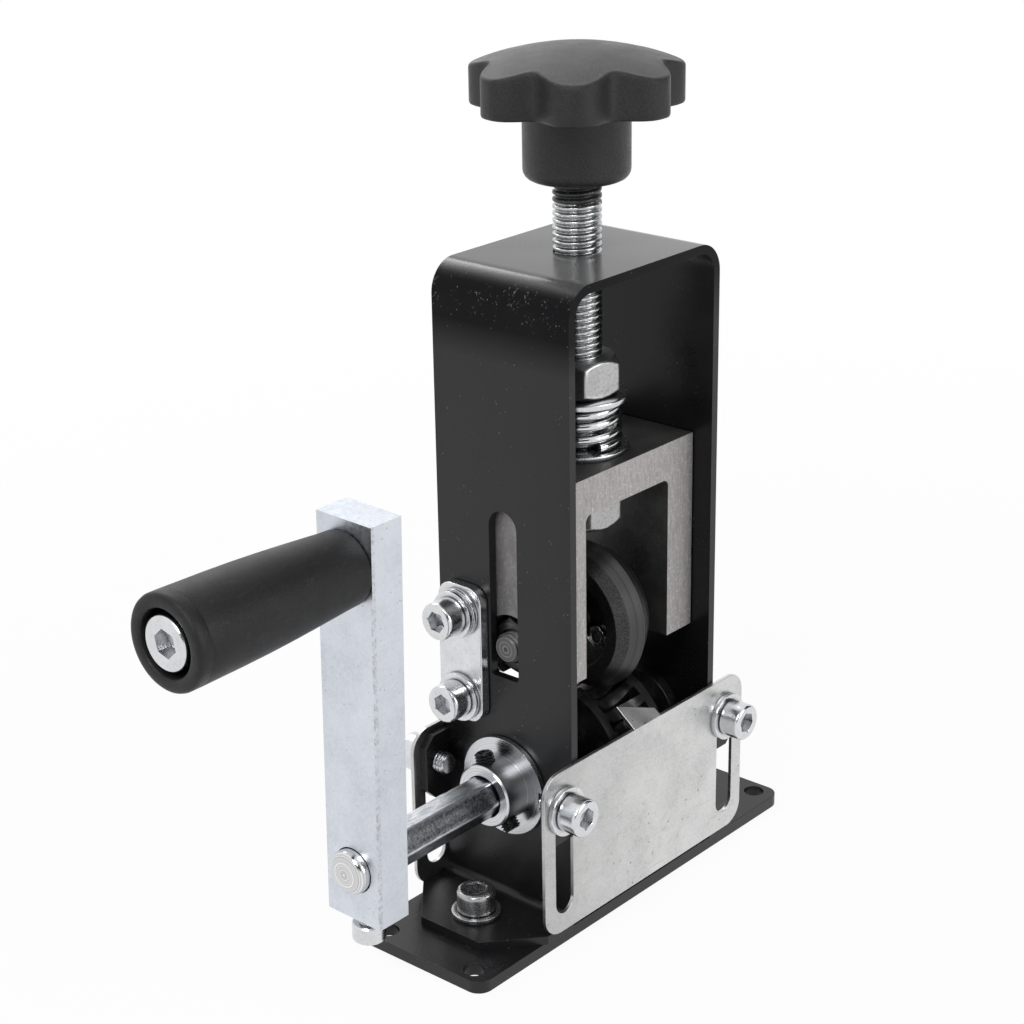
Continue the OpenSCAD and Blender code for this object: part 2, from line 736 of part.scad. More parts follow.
module housing() {
  color(colour_black)
    difference() {
      union() {
        intersection() {
          upright(housing_depth)
            housing_section();
          linear_extrude(housing_top_z + overrun)
            foot_outline();
        }
        for (x = [0, 1])
          for (y = [0, 1])
            mirror([x, 0, 0])
              mirror([0, y, 0])
                ear();
      }
      wall_slot();
      translate([0, 0, shaft_z])
        bar_x(bush_spigot_radius + fit_clearance, -wall_outer - overrun, wall_outer + overrun);
      translate([0, 0, housing_top_z - sheet_thickness - overrun])
        cylinder(r = lead_radius + fit_clearance, h = sheet_thickness + 2 * overrun);
      for (x = [-1, 1])
        translate([x * foot_screw_x, 0, base_thickness - overrun])
          cylinder(r = cap_thread_radius + loose_clearance, h = sheet_thickness + 2 * overrun);
      for (z = [keeper_low_z, keeper_high_z])
        translate([0, keeper_y, z])
          bar_x(cap_thread_radius + fit_clearance, -wall_outer - overrun, overrun - wall_inner);
    }
}

module foot_screws() {
  color(colour_zinc)
    for (x = [-1, 1])
      translate([x * foot_screw_x, 0, foot_top_z + cap_washer_thickness])
        cap(foot_screw_length);
}

module foot_washers() {
  color(colour_zinc)
    for (x = [-1, 1])
      translate([x * foot_screw_x, 0, foot_top_z])
        cap_washer();
}

module keeper_plate() {
  color(colour_zinc)
    difference() {
      translate([-wall_outer, keeper_y, keeper_bottom_z])
        rotate([90, 0, -90])
          linear_extrude(keeper_thickness)
            rounded_sheet(keeper_width, keeper_height, keeper_corner_radius);
      for (z = [keeper_low_z, keeper_high_z])
        translate([0, keeper_y, z])
          bar_x(cap_thread_radius + loose_clearance, -keeper_face - overrun, overrun - wall_outer);
    }
}

// The upper screw stands on two washers, so that its tip stays clear of the carriage.
module keeper_screws() {
  color(colour_zinc) {
    translate([-keeper_face - cap_washer_thickness, keeper_y, keeper_low_z])
      rotate([0, -90, 0])
        cap(cap_length);
    translate([-keeper_face - 2 * cap_washer_thickness - stack_gap, keeper_y, keeper_high_z])
      rotate([0, -90, 0])
        cap(cap_length);
  }
}

module keeper_washers() {
  color(colour_zinc) {
    translate([-keeper_face, keeper_y, keeper_low_z])
      rotate([0, -90, 0])
        cap_washer();
    for (place = [0, 1])
      translate([-keeper_face - place * (cap_washer_thickness + stack_gap), keeper_y,
        keeper_high_z])
        rotate([0, -90, 0])
          cap_washer();
  }
}

module guide_screws() {
  color(colour_zinc)
    for (turn = [0, 180])
      rotate([0, 0, turn])
        for (x = [-1, 1])
          translate([x * guide_slot_x, -guide_back - cap_washer_thickness, guide_screw_z])
            rotate([90, 0, 0])
              cap(cap_length);
}

module guide_washers() {
  color(colour_zinc)
    for (turn = [0, 180])
      rotate([0, 0, turn])
        for (x = [-1, 1])
          translate([x * guide_slot_x, -guide_back, guide_screw_z])
            rotate([90, 0, 0])
              cap_washer();
}

// Slotted plate with one bent tab whose tip is cut on a slant.
module guide_plate() {
  translate([0, -half_depth, 0])
    rotate([90, 0, 0])
      linear_extrude(guide_thickness)
        difference() {
          translate([0, guide_bottom_z])
            rounded_sheet(2 * guide_half_length, guide_top_z - guide_bottom_z,
              guide_corner_radius);
          for (x = [-1, 1])
            translate([x * guide_slot_x, guide_slot_bottom_z])
              round_slot(guide_slot_width, guide_slot_length);
        }
  translate([0, -guide_back, guide_top_z])
    rotate([-tab_angle, 0, 0])
      translate([0, guide_thickness, 0])
        rotate([90, 0, 0])
          linear_extrude(guide_thickness)
            polygon([[-tab_width / 2, 0], [tab_width / 2, 0], [tab_width / 2, tab_short],
              [-tab_width / 2, tab_long]]);
}

module front_guide() {
  color(colour_steel)
    guide_plate();
}

module rear_guide() {
  color(colour_steel)
    translate([0, 0, -rear_guide_drop])
      rotate([0, 0, 180])
        guide_plate();
}

// Bush in the right wall: a flange inside and a spigot through the wall.
module wall_bush() {
  translate([0, 0, shaft_z])
    difference() {
      union() {
        bar_x(bush_flange_radius, wall_inner - bush_flange_thickness, wall_inner);
        bar_x(bush_spigot_radius, wall_inner - overrun, wall_outer);
      }
      bar_x(shaft_hole_radius, wall_inner - bush_flange_thickness - overrun, wall_outer + overrun);
    }
}

module left_bush() {
  color(colour_dark)
    mirror([1, 0, 0])
      wall_bush();
}

module right_bush() {
  color(colour_dark)
    wall_bush();
}

module upper_washer() {
  color(colour_zinc)
    translate([0, 0, spring_top_z])
      washer(spring_washer_radius, spring_washer_thickness, lead_radius + fit_clearance);
}

module lower_washer() {
  color(colour_zinc)
    translate([0, 0, carriage_top_z])
      washer(spring_washer_radius, spring_washer_thickness, lead_radius + fit_clearance);
}

module knob_outline() {
  difference() {
    union() {
      circle(r = lobe_pitch_radius + (hollow_pitch_radius - hollow_radius - lobe_pitch_radius) * 2);
      for (lobe = [0 : lobe_count - 1])
        rotate(lobe * 360 / lobe_count)
          translate([lobe_pitch_radius, 0])
            circle(r = lobe_radius);
    }
    for (lobe = [0 : lobe_count - 1])
      rotate((lobe + 1 / 2) * 360 / lobe_count)
        translate([hollow_pitch_radius, 0])
          circle(r = hollow_radius);
  }
}

// Dome over the rim: a ball cut through the rim's edge circle and the top.
module knob() {
  ball_radius = (knob_radius * knob_radius + knob_dome_height * knob_dome_height)
    / 2 / knob_dome_height;
  color(colour_black)
    difference() {
      union() {
        intersection() {
          translate([0, 0, knob_rim_z])
            rotate(lobe_angle)
              linear_extrude(knob_top_z - knob_rim_z)
                knob_outline();
          translate([0, 0, knob_top_z - ball_radius])
            sphere(r = ball_radius, $fn = 128);
        }
        translate([0, 0, knob_bottom_z])
          pin(knob_hub_radius, knob_hub_height + 2 * knob_hub_chamfer, knob_hub_chamfer);
      }
      translate([0, 0, knob_bottom_z - overrun])
        cylinder(r = lead_radius + fit_clearance, h = knob_socket_depth + overrun);
    }
}

module lead_screw() {
  color(colour_zinc)
    translate([0, 0, lead_bottom_z])
      pin(lead_radius, knob_socket_z - lead_bottom_z, lead_chamfer);
}

module clamp_nut() {
  color(colour_zinc)
    translate([0, 0, upper_washer_top_z])
      rotate(clamp_nut_angle)
        nut(lead_nut_width, clamp_nut_height, lead_radius + fit_clearance, lead_nut_chamfer);
}

module retaining_nut() {
  color(colour_zinc)
    translate([0, 0, web_bottom_z - retaining_nut_height])
      rotate(retaining_nut_angle)
        nut(lead_nut_width, retaining_nut_height, lead_radius + fit_clearance, lead_nut_chamfer);
}

// Inverted U with square legs, drawn in x and z and cut from bar.
module carriage() {
  color(colour_grey)
    difference() {
      upright(carriage_depth)
        difference() {
          translate([-carriage_half_width, leg_bottom_z])
            square([2 * carriage_half_width, carriage_top_z - leg_bottom_z]);
          translate([0, leg_bottom_z - 2 * carriage_fillet])
            rounded_sheet(2 * leg_inner, web_bottom_z - leg_bottom_z + 2 * carriage_fillet,
              carriage_fillet);
        }
      translate([0, 0, web_bottom_z - overrun])
        cylinder(r = lead_radius + fit_clearance, h = web_thickness + 2 * overrun);
      translate([0, 0, cutter_z]) {
        bar_x(axle_radius + fit_clearance, -carriage_half_width - overrun,
          carriage_half_width + overrun);
        bar_x(axle_recess_radius, -carriage_half_width - overrun,
          axle_recess_depth - carriage_half_width);
        bar_x(axle_recess_radius, carriage_half_width - axle_recess_depth,
          carriage_half_width + overrun);
      }
    }
}

// Pitch summed over a number of turns: close at both ends and open between.
spring_rise = spring_height - 2 * spring_wire_radius * cos(30);
spring_open_turns = spring_turns - 2 * spring_close_turns;
spring_open_pitch = (spring_rise - 2 * spring_close_turns * spring_close_pitch) / spring_open_turns;
function spring_z(turn) =
  min(turn, spring_close_turns) * spring_close_pitch
  + max(0, min(turn - spring_close_turns, spring_open_turns)) * spring_open_pitch
  + max(0, turn - spring_close_turns - spring_open_turns) * spring_close_pitch;

// One helical tube of eight rings to a curl and six sides to a ring.
rings_per_turn = 8;
wire_sides = 6;
spring_rings = round(spring_turns * rings_per_turn);
spring_points = [for (ring = [0 : spring_rings]) for (side = [0 : wire_sides - 1])
  let (turn = ring / rings_per_turn,
    angle = spring_start_angle + 360 * turn,
    corner = 360 * side / wire_sides,
    reach = spring_radius + spring_wire_radius * cos(corner))
  [reach * cos(angle), reach * sin(angle),
    spring_z(turn) + spring_wire_radius * (sin(corner) + cos(30))]];
spring_faces = concat(
  [[for (side = [0 : wire_sides - 1]) side]],
  [[for (side = [0 : wire_sides - 1]) spring_rings * wire_sides + wire_sides - 1 - side]],
  [for (ring = [0 : spring_rings - 1]) for (side = [0 : wire_sides - 1])
    let (next = (side + 1) % wire_sides, low = ring * wire_sides, high = low + wire_sides)
    [low + side, high + side, low + next]],
  [for (ring = [0 : spring_rings - 1]) for (side = [0 : wire_sides - 1])
    let (next = (side + 1) % wire_sides, low = ring * wire_sides, high = low + wire_sides)
    [low + next, high + side, high + next]]);
spring_least_gap = min([for (ring = [0 : spring_rings - rings_per_turn])
  for (low = [0 : wire_sides - 1]) for (high = [0 : wire_sides - 1])
    norm(spring_points[(ring + rings_per_turn) * wire_sides + high]
      - spring_points[ring * wire_sides + low])]);
echo(spring_least_gap = spring_least_gap);

module spring() {
  color(colour_zinc)
    translate([0, 0, lower_washer_top_z])
      polyhedron(points = spring_points, faces = spring_faces, convexity = 8);
}

module cutter_axle() {
  color(colour_zinc)
    translate([0, 0, cutter_z])
      pin_x(axle_radius, -axle_half_length, axle_half_length, axle_chamfer);
}

module axle_nuts() {
  color(colour_dark)
    for (side = [0, 1])
      mirror([side, 0, 0])
        translate([carriage_half_width - axle_recess_depth, 0, cutter_z])
          rotate([0, 90, 0])
            nut(axle_nut_width, axle_nut_height, axle_radius + fit_clearance, lead_nut_chamfer);
}

module axle_spacers() {
  color(colour_dark)
    translate([0, 0, cutter_z])
      difference() {
        union() {
          bar_x(axle_spacer_radius, -leg_inner, ring_left);
          bar_x(axle_spacer_radius, ring_right, leg_inner);
        }
        bar_x(axle_radius + fit_clearance, -leg_inner - overrun, leg_inner + overrun);
      }
}

// Drilling for the small screws through the cutter pack.
module pack_holes(radius) {
  for (place = [0 : pack_screw_count - 1])
    rotate([pack_screw_angle + place * 360 / pack_screw_count, 0, 0])
      translate([0, pack_screw_pitch_radius, 0])
        bar_x(radius, ring_left - overrun, ring_right + overrun);
}

module cutter_blade() {
  color(colour_dark)
    translate([0, 0, cutter_z])
      difference() {
        translate([blade_left, 0, 0])
          rotate([0, 90, 0])
            rotate_extrude()
              polygon([[0, 0], [blade_bevel_radius, 0], [blade_edge_radius, blade_thickness / 2],
                [blade_bevel_radius, blade_thickness], [0, blade_thickness]]);
        bar_x(cutter_bush_radius + fit_clearance, blade_left - overrun, blade_right + overrun);
        pack_holes(pack_screw_radius + fit_clearance);
      }
}

// Side ring along Z: it carries on the blade's bevel to a shoulder and tapers to its outer end.
module side_ring() {
  rotate_extrude()
    polygon([[0, 0], [blade_bevel_radius, 0], [shoulder_radius, side_bevel_width],
      [side_ring_radius, side_ring_thickness], [0, side_ring_thickness]]);
}

module cutter_sides() {
  color(colour_dark)
    translate([0, 0, cutter_z])
      difference() {
        union() {
          translate([blade_left, 0, 0])
            rotate([0, -90, 0])
              side_ring();
          translate([blade_right, 0, 0])
            rotate([0, 90, 0])
              side_ring();
        }
        bar_x(side_recess_radius, ring_left - overrun, recess_left);
        bar_x(side_recess_radius, recess_right, ring_right + overrun);
        bar_x(cutter_bush_radius + fit_clearance, ring_left - overrun, ring_right + overrun);
        pack_holes(pack_screw_radius + fit_clearance);
      }
}

module cutter_screws() {
  color(colour_dark)
    for (place = [0 : pack_screw_count - 1])
      translate([0, 0, cutter_z])
        rotate([pack_screw_angle + place * 360 / pack_screw_count, 0, 0])
          translate([recess_right, pack_screw_pitch_radius, 0])
            rotate([0, 90, 0])
              cap_screw(pack_screw_radius, recess_right - recess_left + pack_nut_height
                - pack_tip_recess, pack_head_radius, pack_head_height, pack_socket_width,
                pack_socket_depth, fit_clearance * 4);
}

module cutter_nuts() {
  color(colour_dark)
    for (place = [0 : pack_screw_count - 1])
      translate([0, 0, cutter_z])
        rotate([pack_screw_angle + place * 360 / pack_screw_count, 0, 0])
          translate([recess_left, pack_screw_pitch_radius, 0])
            rotate([0, -90, 0])
              nut(pack_nut_width, pack_nut_height, pack_screw_radius + fit_clearance,
                fit_clearance * 4);
}

// The flange stands in the left recess, and the ends stay clear of the spacers.
module cutter_bush() {
  color(colour_dark)
    translate([0, 0, cutter_z])
      difference() {
        union() {
          bar_x(cutter_bush_radius, ring_left + running_gap, ring_right - running_gap);
          bar_x(cutter_bush_flange_radius, recess_left - cutter_bush_flange_thickness,
            recess_left);
        }
        bar_x(axle_radius + fit_clearance, ring_left - overrun, ring_right + overrun);
      }
}

// Hex bar whose left end is turned to a dome with a small flat.
module drive_shaft() {
  color(colour_zinc)
    translate([0, 0, shaft_z])
      intersection() {
        rotate([shaft_flat_angle - 60, 0, 0])
          translate([shaft_left_x, 0, 0])
            rotate([0, 90, 0])
              hex_bar(shaft_width, shaft_right_x - shaft_left_x);
        union() {
          translate([shaft_dome_x, 0, 0])
            sphere(r = shaft_dome_radius);
          pin_x(shaft_dome_radius, shaft_dome_x, shaft_right_x,
            shaft_chamfer + shaft_dome_radius - shaft_corner_radius);
        }
      }
}

// Spool with a hollow groove; straight gaps across the groove leave the teeth.
module feed_wheel() {
  wheel_left = wheel_x - wheel_width / 2;
  wheel_right = wheel_x + wheel_width / 2;
  groove_radius = (groove_half_width * groove_half_width + groove_depth * groove_depth)
    / 2 / groove_depth;
  gap_half_length = groove_half_width + gap_rim_reach;
  color(colour_dark)
    translate([0, 0, shaft_z])
      difference() {
        bar_x(wheel_radius, wheel_left, wheel_right);
        translate([wheel_x, 0, 0])
          rotate([0, 90, 0])
            rotate_extrude()
              translate([groove_bottom_radius + groove_radius, 0])
                circle(r = groove_radius);
        for (tooth = [0 : tooth_count - 1])
          rotate([(tooth + 1 / 2) * 360 / tooth_count, 0, 0])
            translate([wheel_x - gap_half_length, 0, 0])
              rotate([90, 0, 90])
                linear_extrude(2 * gap_half_length)
                  polygon([[gap_bottom_radius, 0], [wheel_radius + overrun, gap_half_width],
                    [wheel_radius + overrun, -gap_half_width]]);
        rotate([shaft_flat_angle - 60, 0, 0])
          translate([wheel_left - overrun, 0, 0])
            rotate([0, 90, 0])
              hex_bar(shaft_width + 2 * fit_clearance, wheel_width + 2 * overrun);
        rotate([shaft_flat_angle - 180, 0, 0])
          translate([wheel_x, 0, 0])
            rotate([-90, 0, 0])
              cylinder(r = set_screw_radius + fit_clearance, h = wheel_radius + overrun);
      }
}

module wheel_set_screw() {
  color(colour_dark)
    translate([wheel_x, 0, shaft_z])
      rotate([shaft_flat_angle - 180, 0, 0])
        set_screw(shaft_width / 2 + fit_clearance, shaft_width / 2 + wheel_set_screw_length);
}

// Collar outside the right wall: a thin flange, a neck and two tapped holes.
module collar() {
  flange_x = wall_outer + collar_gap;
  neck_x = flange_x + collar_flange_thickness;
  translate([0, 0, shaft_z])
    difference() {
      union() {
        bar_x(collar_flange_radius, flange_x, neck_x);
        translate([flange_x, 0, 0])
          rotate([0, 90, 0])
            pin(collar_neck_radius, collar_end_x - flange_x, collar_chamfer);
      }
      bar_x(shaft_hole_radius, flange_x - overrun, collar_end_x + overrun);
      translate([flange_x - overrun, -collar_flange_radius - overrun, -collar_notch_width / 2])
        cube([collar_flange_thickness + overrun, collar_notch_depth + overrun,
          collar_notch_width]);
      for (angle = collar_screw_angles)
        rotate([angle, 0, 0])
          translate([collar_screw_x, 0, 0])
            rotate([-90, 0, 0])
              cylinder(r = set_screw_radius + fit_clearance, h = collar_neck_radius + overrun);
    }
}

module left_collar() {
  color(colour_zinc)
    mirror([1, 0, 0])
      collar();
}

module right_collar() {
  color(colour_zinc)
    collar();
}

module collar_set_screws() {
  color(colour_dark)
    for (side = [0, 1])
      mirror([side, 0, 0])
        translate([collar_screw_x, 0, shaft_z])
          for (angle = collar_screw_angles)
            rotate([angle, 0, 0])
              set_screw(collar_screw_inner_radius, collar_screw_inner_radius + collar_screw_length);
}

module crank_arm() {
  color(colour_zinc)
    translate([0, 0, shaft_z])
      rotate([arm_lean, 0, 0])
        difference() {
          translate([arm_outer_x, -arm_width / 2, -arm_below_shaft])
            cube([arm_thickness, arm_width, arm_below_shaft + arm_above_shaft]);
          bar_x(shaft_hole_radius, arm_outer_x - overrun, arm_inner_x + overrun);
          translate([arm_outer_x, 0, 0])
            rotate([0, 90, 0])
              cylinder(r1 = shaft_hole_radius + arm_hole_chamfer, r2 = shaft_hole_radius,
                h = arm_hole_chamfer);
          translate([0, 0, grip_distance])
            bar_x(spindle_radius + fit_clearance, arm_outer_x - overrun, arm_inner_x + overrun);
          translate([clamp_screw_x, 0, -arm_below_shaft - overrun])
            cylinder(r = set_screw_radius + fit_clearance, h = arm_below_shaft + overrun);
        }
}

module crank_clamp_screw() {
  color(colour_zinc)
    translate([0, 0, shaft_z])
      rotate([arm_lean, 0, 0])
        translate([clamp_screw_x, 0, -arm_below_shaft - clamp_head_gap])
          rotate([180, 0, 0])
            cap_screw(set_screw_radius, arm_below_shaft + clamp_head_gap - clamp_tip_distance,
              clamp_head_radius, clamp_head_height, clamp_socket_width, set_socket_depth,
              cap_chamfer);
}

module grip_spindle() {
  color(colour_zinc)
    translate([0, 0, shaft_z])
      rotate([arm_lean, 0, 0])
        translate([grip_end_x + spindle_head_height, 0, grip_distance])
          rotate([0, -90, 0])
            cap_screw(spindle_radius, arm_inner_x - spindle_tip_recess - grip_end_x
              - spindle_head_height, spindle_head_radius, spindle_head_height,
              spindle_socket_width, spindle_socket_depth, cap_chamfer);
}

// Barrel that swells from the arm to its outer end.
module grip() {
  color(colour_black)
    translate([0, 0, shaft_z])
      rotate([arm_lean, 0, 0])
        translate([grip_end_x, 0, grip_distance])
          rotate([0, 90, 0])
            difference() {
              rotate_extrude()
                polygon([[0, 0], [grip_end_radius - grip_chamfer, 0],
                  [grip_end_radius, grip_chamfer], [grip_middle_radius, grip_length / 2],
                  [grip_arm_radius, grip_length], [0, grip_length]]);
              translate([0, 0, -overrun])
                cylinder(r = grip_recess_radius, h = spindle_head_height + running_gap + overrun);
              cylinder(r = spindle_radius + fit_clearance, h = grip_length + overrun);
            }
}

base_plate();
housing();
foot_screws();
foot_washers();
keeper_plate();
keeper_screws();
keeper_washers();
guide_screws();
guide_washers();
front_guide();
rear_guide();
left_bush();
right_bush();
upper_washer();
knob();
lead_screw();
clamp_nut();
retaining_nut();
carriage();
lower_washer();
spring();
cutter_axle();
axle_nuts();
axle_spacers();
cutter_blade();
cutter_sides();
cutter_screws();
cutter_nuts();
cutter_bush();
drive_shaft();
feed_wheel();
wheel_set_screw();
left_collar();
right_collar();
collar_set_screws();
crank_arm();
crank_clamp_screw();
grip_spindle();
grip();
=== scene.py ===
"""Hand crank wire stripper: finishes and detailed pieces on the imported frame.

Lengths in this file are in millimetres until a mesh, a lamp, a camera or a node is made from them,
which scales them to metres.
X runs along the drive shaft with the crank at -X, Y to the back, Z up.
"""
from math import ceil, cos, radians, sin, sqrt

import bpy
from mathutils import Matrix, Vector
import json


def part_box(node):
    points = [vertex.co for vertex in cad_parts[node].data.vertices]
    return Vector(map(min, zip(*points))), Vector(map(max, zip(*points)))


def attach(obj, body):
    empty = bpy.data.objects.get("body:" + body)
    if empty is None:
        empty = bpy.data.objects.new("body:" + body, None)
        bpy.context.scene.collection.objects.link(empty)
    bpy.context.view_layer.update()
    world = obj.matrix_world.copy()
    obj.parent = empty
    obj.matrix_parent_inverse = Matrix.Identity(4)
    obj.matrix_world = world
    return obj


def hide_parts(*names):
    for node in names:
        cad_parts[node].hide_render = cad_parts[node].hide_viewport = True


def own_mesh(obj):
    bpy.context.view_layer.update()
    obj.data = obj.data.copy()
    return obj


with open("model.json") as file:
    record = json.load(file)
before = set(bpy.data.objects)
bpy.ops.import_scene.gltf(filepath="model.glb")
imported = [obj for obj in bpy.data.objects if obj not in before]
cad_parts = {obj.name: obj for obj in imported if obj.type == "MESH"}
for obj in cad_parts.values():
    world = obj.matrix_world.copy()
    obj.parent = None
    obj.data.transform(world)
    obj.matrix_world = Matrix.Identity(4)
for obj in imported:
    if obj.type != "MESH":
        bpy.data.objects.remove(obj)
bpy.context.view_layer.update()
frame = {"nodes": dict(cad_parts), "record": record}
scene = bpy.context.scene
MM = 0.001


# Places taken from the frame

def low(node):
    """Lowest corner of a CAD node in millimetres."""
    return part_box(node)[0] / MM


def high(node):
    """Highest corner of a CAD node in millimetres."""
    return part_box(node)[1] / MM


def middle(node):
    """Centre of a CAD node's box in millimetres."""
    return (low(node) + high(node)) / 2


# Meshes

def make_mesh(name, verts, faces, smooth_angle=40):
    """A mesh object from points in millimetres, smooth up to an angle between faces."""
    mesh = bpy.data.meshes.new(name)
    mesh.from_pydata([Vector(v) * MM for v in verts], [], faces)
    mesh.validate()
    obj = bpy.data.objects.new(name, mesh)
    scene.collection.objects.link(obj)
    mesh.set_sharp_from_angle(angle=radians(smooth_angle))
    for polygon in mesh.polygons:
        polygon.use_smooth = True
    return obj


def ring_stack(rings):
    """Points and faces of a closed tube through rings that hold equally many points."""
    count = len(rings[0])
    verts = [point for ring in rings for point in ring]
    faces = []
    for row in range(len(rings) - 1):
        start, after = row * count, (row + 1) * count
        for i in range(count):
            j = (i + 1) % count
            faces.append((start + i, start + j, after + j, after + i))
    faces.append(tuple(reversed(range(count))))
    faces.append(tuple(range(len(verts) - count, len(verts))))
    return verts, faces


def at(value, angle):
    """A value, or what a function of the angle in degrees gives there."""
    return value(angle) if callable(value) else value


def on_circle(radius, angle, height):
    """Point at a radius, an angle in degrees and a height."""
    return radius * cos(radians(angle)), radius * sin(radians(angle)), height


def turned(profile, steps=64):
    """Ring stack of (radius, height) pairs round Z; both may be functions of the angle in degrees."""
    angles = [360 * step / steps for step in range(steps)]
    return ring_stack([[on_circle(at(radius, angle), angle, at(height, angle)) for angle in angles]
                       for radius, height in profile])


def pierced(profile, steps):
    """Turned ring whose last circle joins its first one through the hole."""
    verts, faces = turned(profile, steps)
    last = (len(profile) - 1) * steps
    faces = [face for face in faces if len(face) == 4]
    faces += [(last + i, last + (i + 1) % steps, (i + 1) % steps, i) for i in range(steps)]
    return verts, faces


def joined(*solids):
    """Several (points, faces) pairs as one."""
    verts, faces = [], []
    for more_verts, more_faces in solids:
        start = len(verts)
        verts += list(more_verts)
        faces += [tuple(start + i for i in face) for face in more_faces]
    return verts, faces


def placed(solid, origin, axis=(0, 0, 1), spin=0):
    """A (points, faces) pair turned so that its Z runs along axis, spun about it, and moved to origin."""
    turn = Vector((0, 0, 1)).rotation_difference(Vector(axis)).to_matrix().to_4x4()
    matrix = Matrix.Translation(origin) @ turn @ Matrix.Rotation(radians(spin), 4, "Z")
    return [matrix @ Vector(v) for v in solid[0]], solid[1]


def hexagon(width):
    """Radius of a hexagon with that width across flats, as a function of the angle, corner at 0."""
    def reach(angle):
        return width / 2 / cos(radians(angle % 60 - 30))
    return reach


def least(*radii):
    """The smallest of several radii or radius functions at each angle."""
    def reach(angle):
        return min(at(radius, angle) for radius in radii)
    return reach


def rounded(radius, height, fillet, steps=4):
    """Profile points of a rounded outer edge that ends at (radius - fillet, height), from below."""
    points = []
    for step in range(steps + 1):
        angle = radians(90 * step / steps)
        points.append((radius - fillet * (1 - cos(angle)), height - fillet * (1 - sin(angle))))
    return points


def thread(radius, bottom, top, pitch, depth=None, steps=48, rows=8, tip=0.6, flat_share=0.15):
    """Right-hand screw thread, chamfered at the bottom, whose crests are flat for a share of the pitch."""
    depth = depth or 0.6 * pitch
    root_share = 0.85

    def crest(angle, height):
        flank = abs((height / pitch - angle / 360) % 1 - 0.5) * 2
        return radius - depth * max(0, min(1, (flank - flat_share) / (root_share - flat_share)))

    rings = []
    count = max(2, ceil((top - bottom) / pitch * rows))
    angles = [360 * step / steps for step in range(steps)]
    for row in range(count + 1):
        height = bottom + (top - bottom) * row / count
        limit = radius - max(0, tip - (height - bottom))
        rings.append([on_circle(min(crest(angle, height), limit), angle, height) for angle in angles])
    return ring_stack(rings)


# Fasteners, with the underside of the head at z = 0 and the head above

# Sizes of the common cap screw's head and the thickness and hole radius of its washer
HEAD_RADIUS = 5.0
HEAD_HEIGHT = 6.0
WASHER = 1.5
WASHER_HOLE = 3.2


def socket_head(radius, height, socket, depth):
    """Head of a socket cap screw: rounded top edge and a hex socket with a drilled bottom."""
    steps, chamfer, edge, mouth, core = 96, 0.3, 0.95, 0.25, 0.05
    rim = socket / 2 / cos(radians(30)) + 0.3
    floor = height - depth
    profile = [(radius * 0.9, 0), (radius - chamfer, 0), (radius, 0.35), (radius, height - 1.6)]
    profile += [(radius, height - 1.3)] + rounded(radius, height, edge, 5)[1:]
    profile += [(rim, height), (hexagon(socket), height - mouth), (hexagon(socket), floor)]
    profile += [(socket * 0.42, floor), (core, floor - socket * 0.18)]
    return turned(profile, steps)


def cap_screw(length, radius=3.0, head_radius=HEAD_RADIUS, head_height=HEAD_HEIGHT, socket=5.0, depth=3.0,
              pitch=1.0):
    """Socket cap screw with a thread."""
    clearance, into_head = 0.02, 0.3
    shank = thread(radius - clearance, -length, into_head, pitch, steps=36)
    return joined(shank, socket_head(head_radius, head_height, socket, depth))


def set_screw(length, radius=2.5, socket=2.5, pitch=0.8, depth=1.8):
    """Set screw from z = 0 to its length, with a socket in its upper end and a turned top edge."""
    clearance, edge, drilled, core = 0.02, 0.3, 0.3, 0.05
    body = thread(radius - clearance, 0, length - edge, pitch, steps=40)
    profile = [(radius - edge, length - 0.5), (radius - 0.45, length - 0.12), (radius - 0.65, length)]
    profile += [(socket * 0.62, length), (hexagon(socket), length - 0.2)]
    profile += [(hexagon(socket), length - depth), (core, length - depth - drilled)]
    return joined(body, turned(profile, 48))


def hex_nut(width, height, bore, chamfer=0.6):
    """Hex nut from z = 0 up, with turned corners and a countersunk hole."""
    steps, cuts, sink, sink_reach = 144, 5, 0.8, 0.7
    flat = width / 2 * 0.955
    slope = chamfer / (width / 2 / cos(radians(30)) - flat)
    rises = [chamfer * step / cuts for step in range(cuts + 1)]

    def corner(rise):
        return least(hexagon(width), flat + rise / slope)

    profile = [(bore, sink), (bore + sink_reach, 0), (flat, 0)]
    profile += [(corner(rise), rise) for rise in rises]
    profile += [(corner(rise), height - rise) for rise in reversed(rises)]
    profile += [(flat, height), (bore + sink_reach, height), (bore, height - sink)]
    return pierced(profile, steps)


def flat_washer(radius, hole, thickness, edge=0.14):
    """Punched washer from z = 0 up: rolled upper edge and a sharp lower one."""
    burr, lead_in = 0.12, 0.15
    profile = [(hole, 0), (radius - 0.1, 0), (radius, burr)] + rounded(radius, thickness, edge, 3)
    profile += [(hole + lead_in, thickness), (hole, thickness - burr)]
    return pierced(profile, 72)


# Node materials

PAINT_DUST = (0.16, 0.155, 0.15)


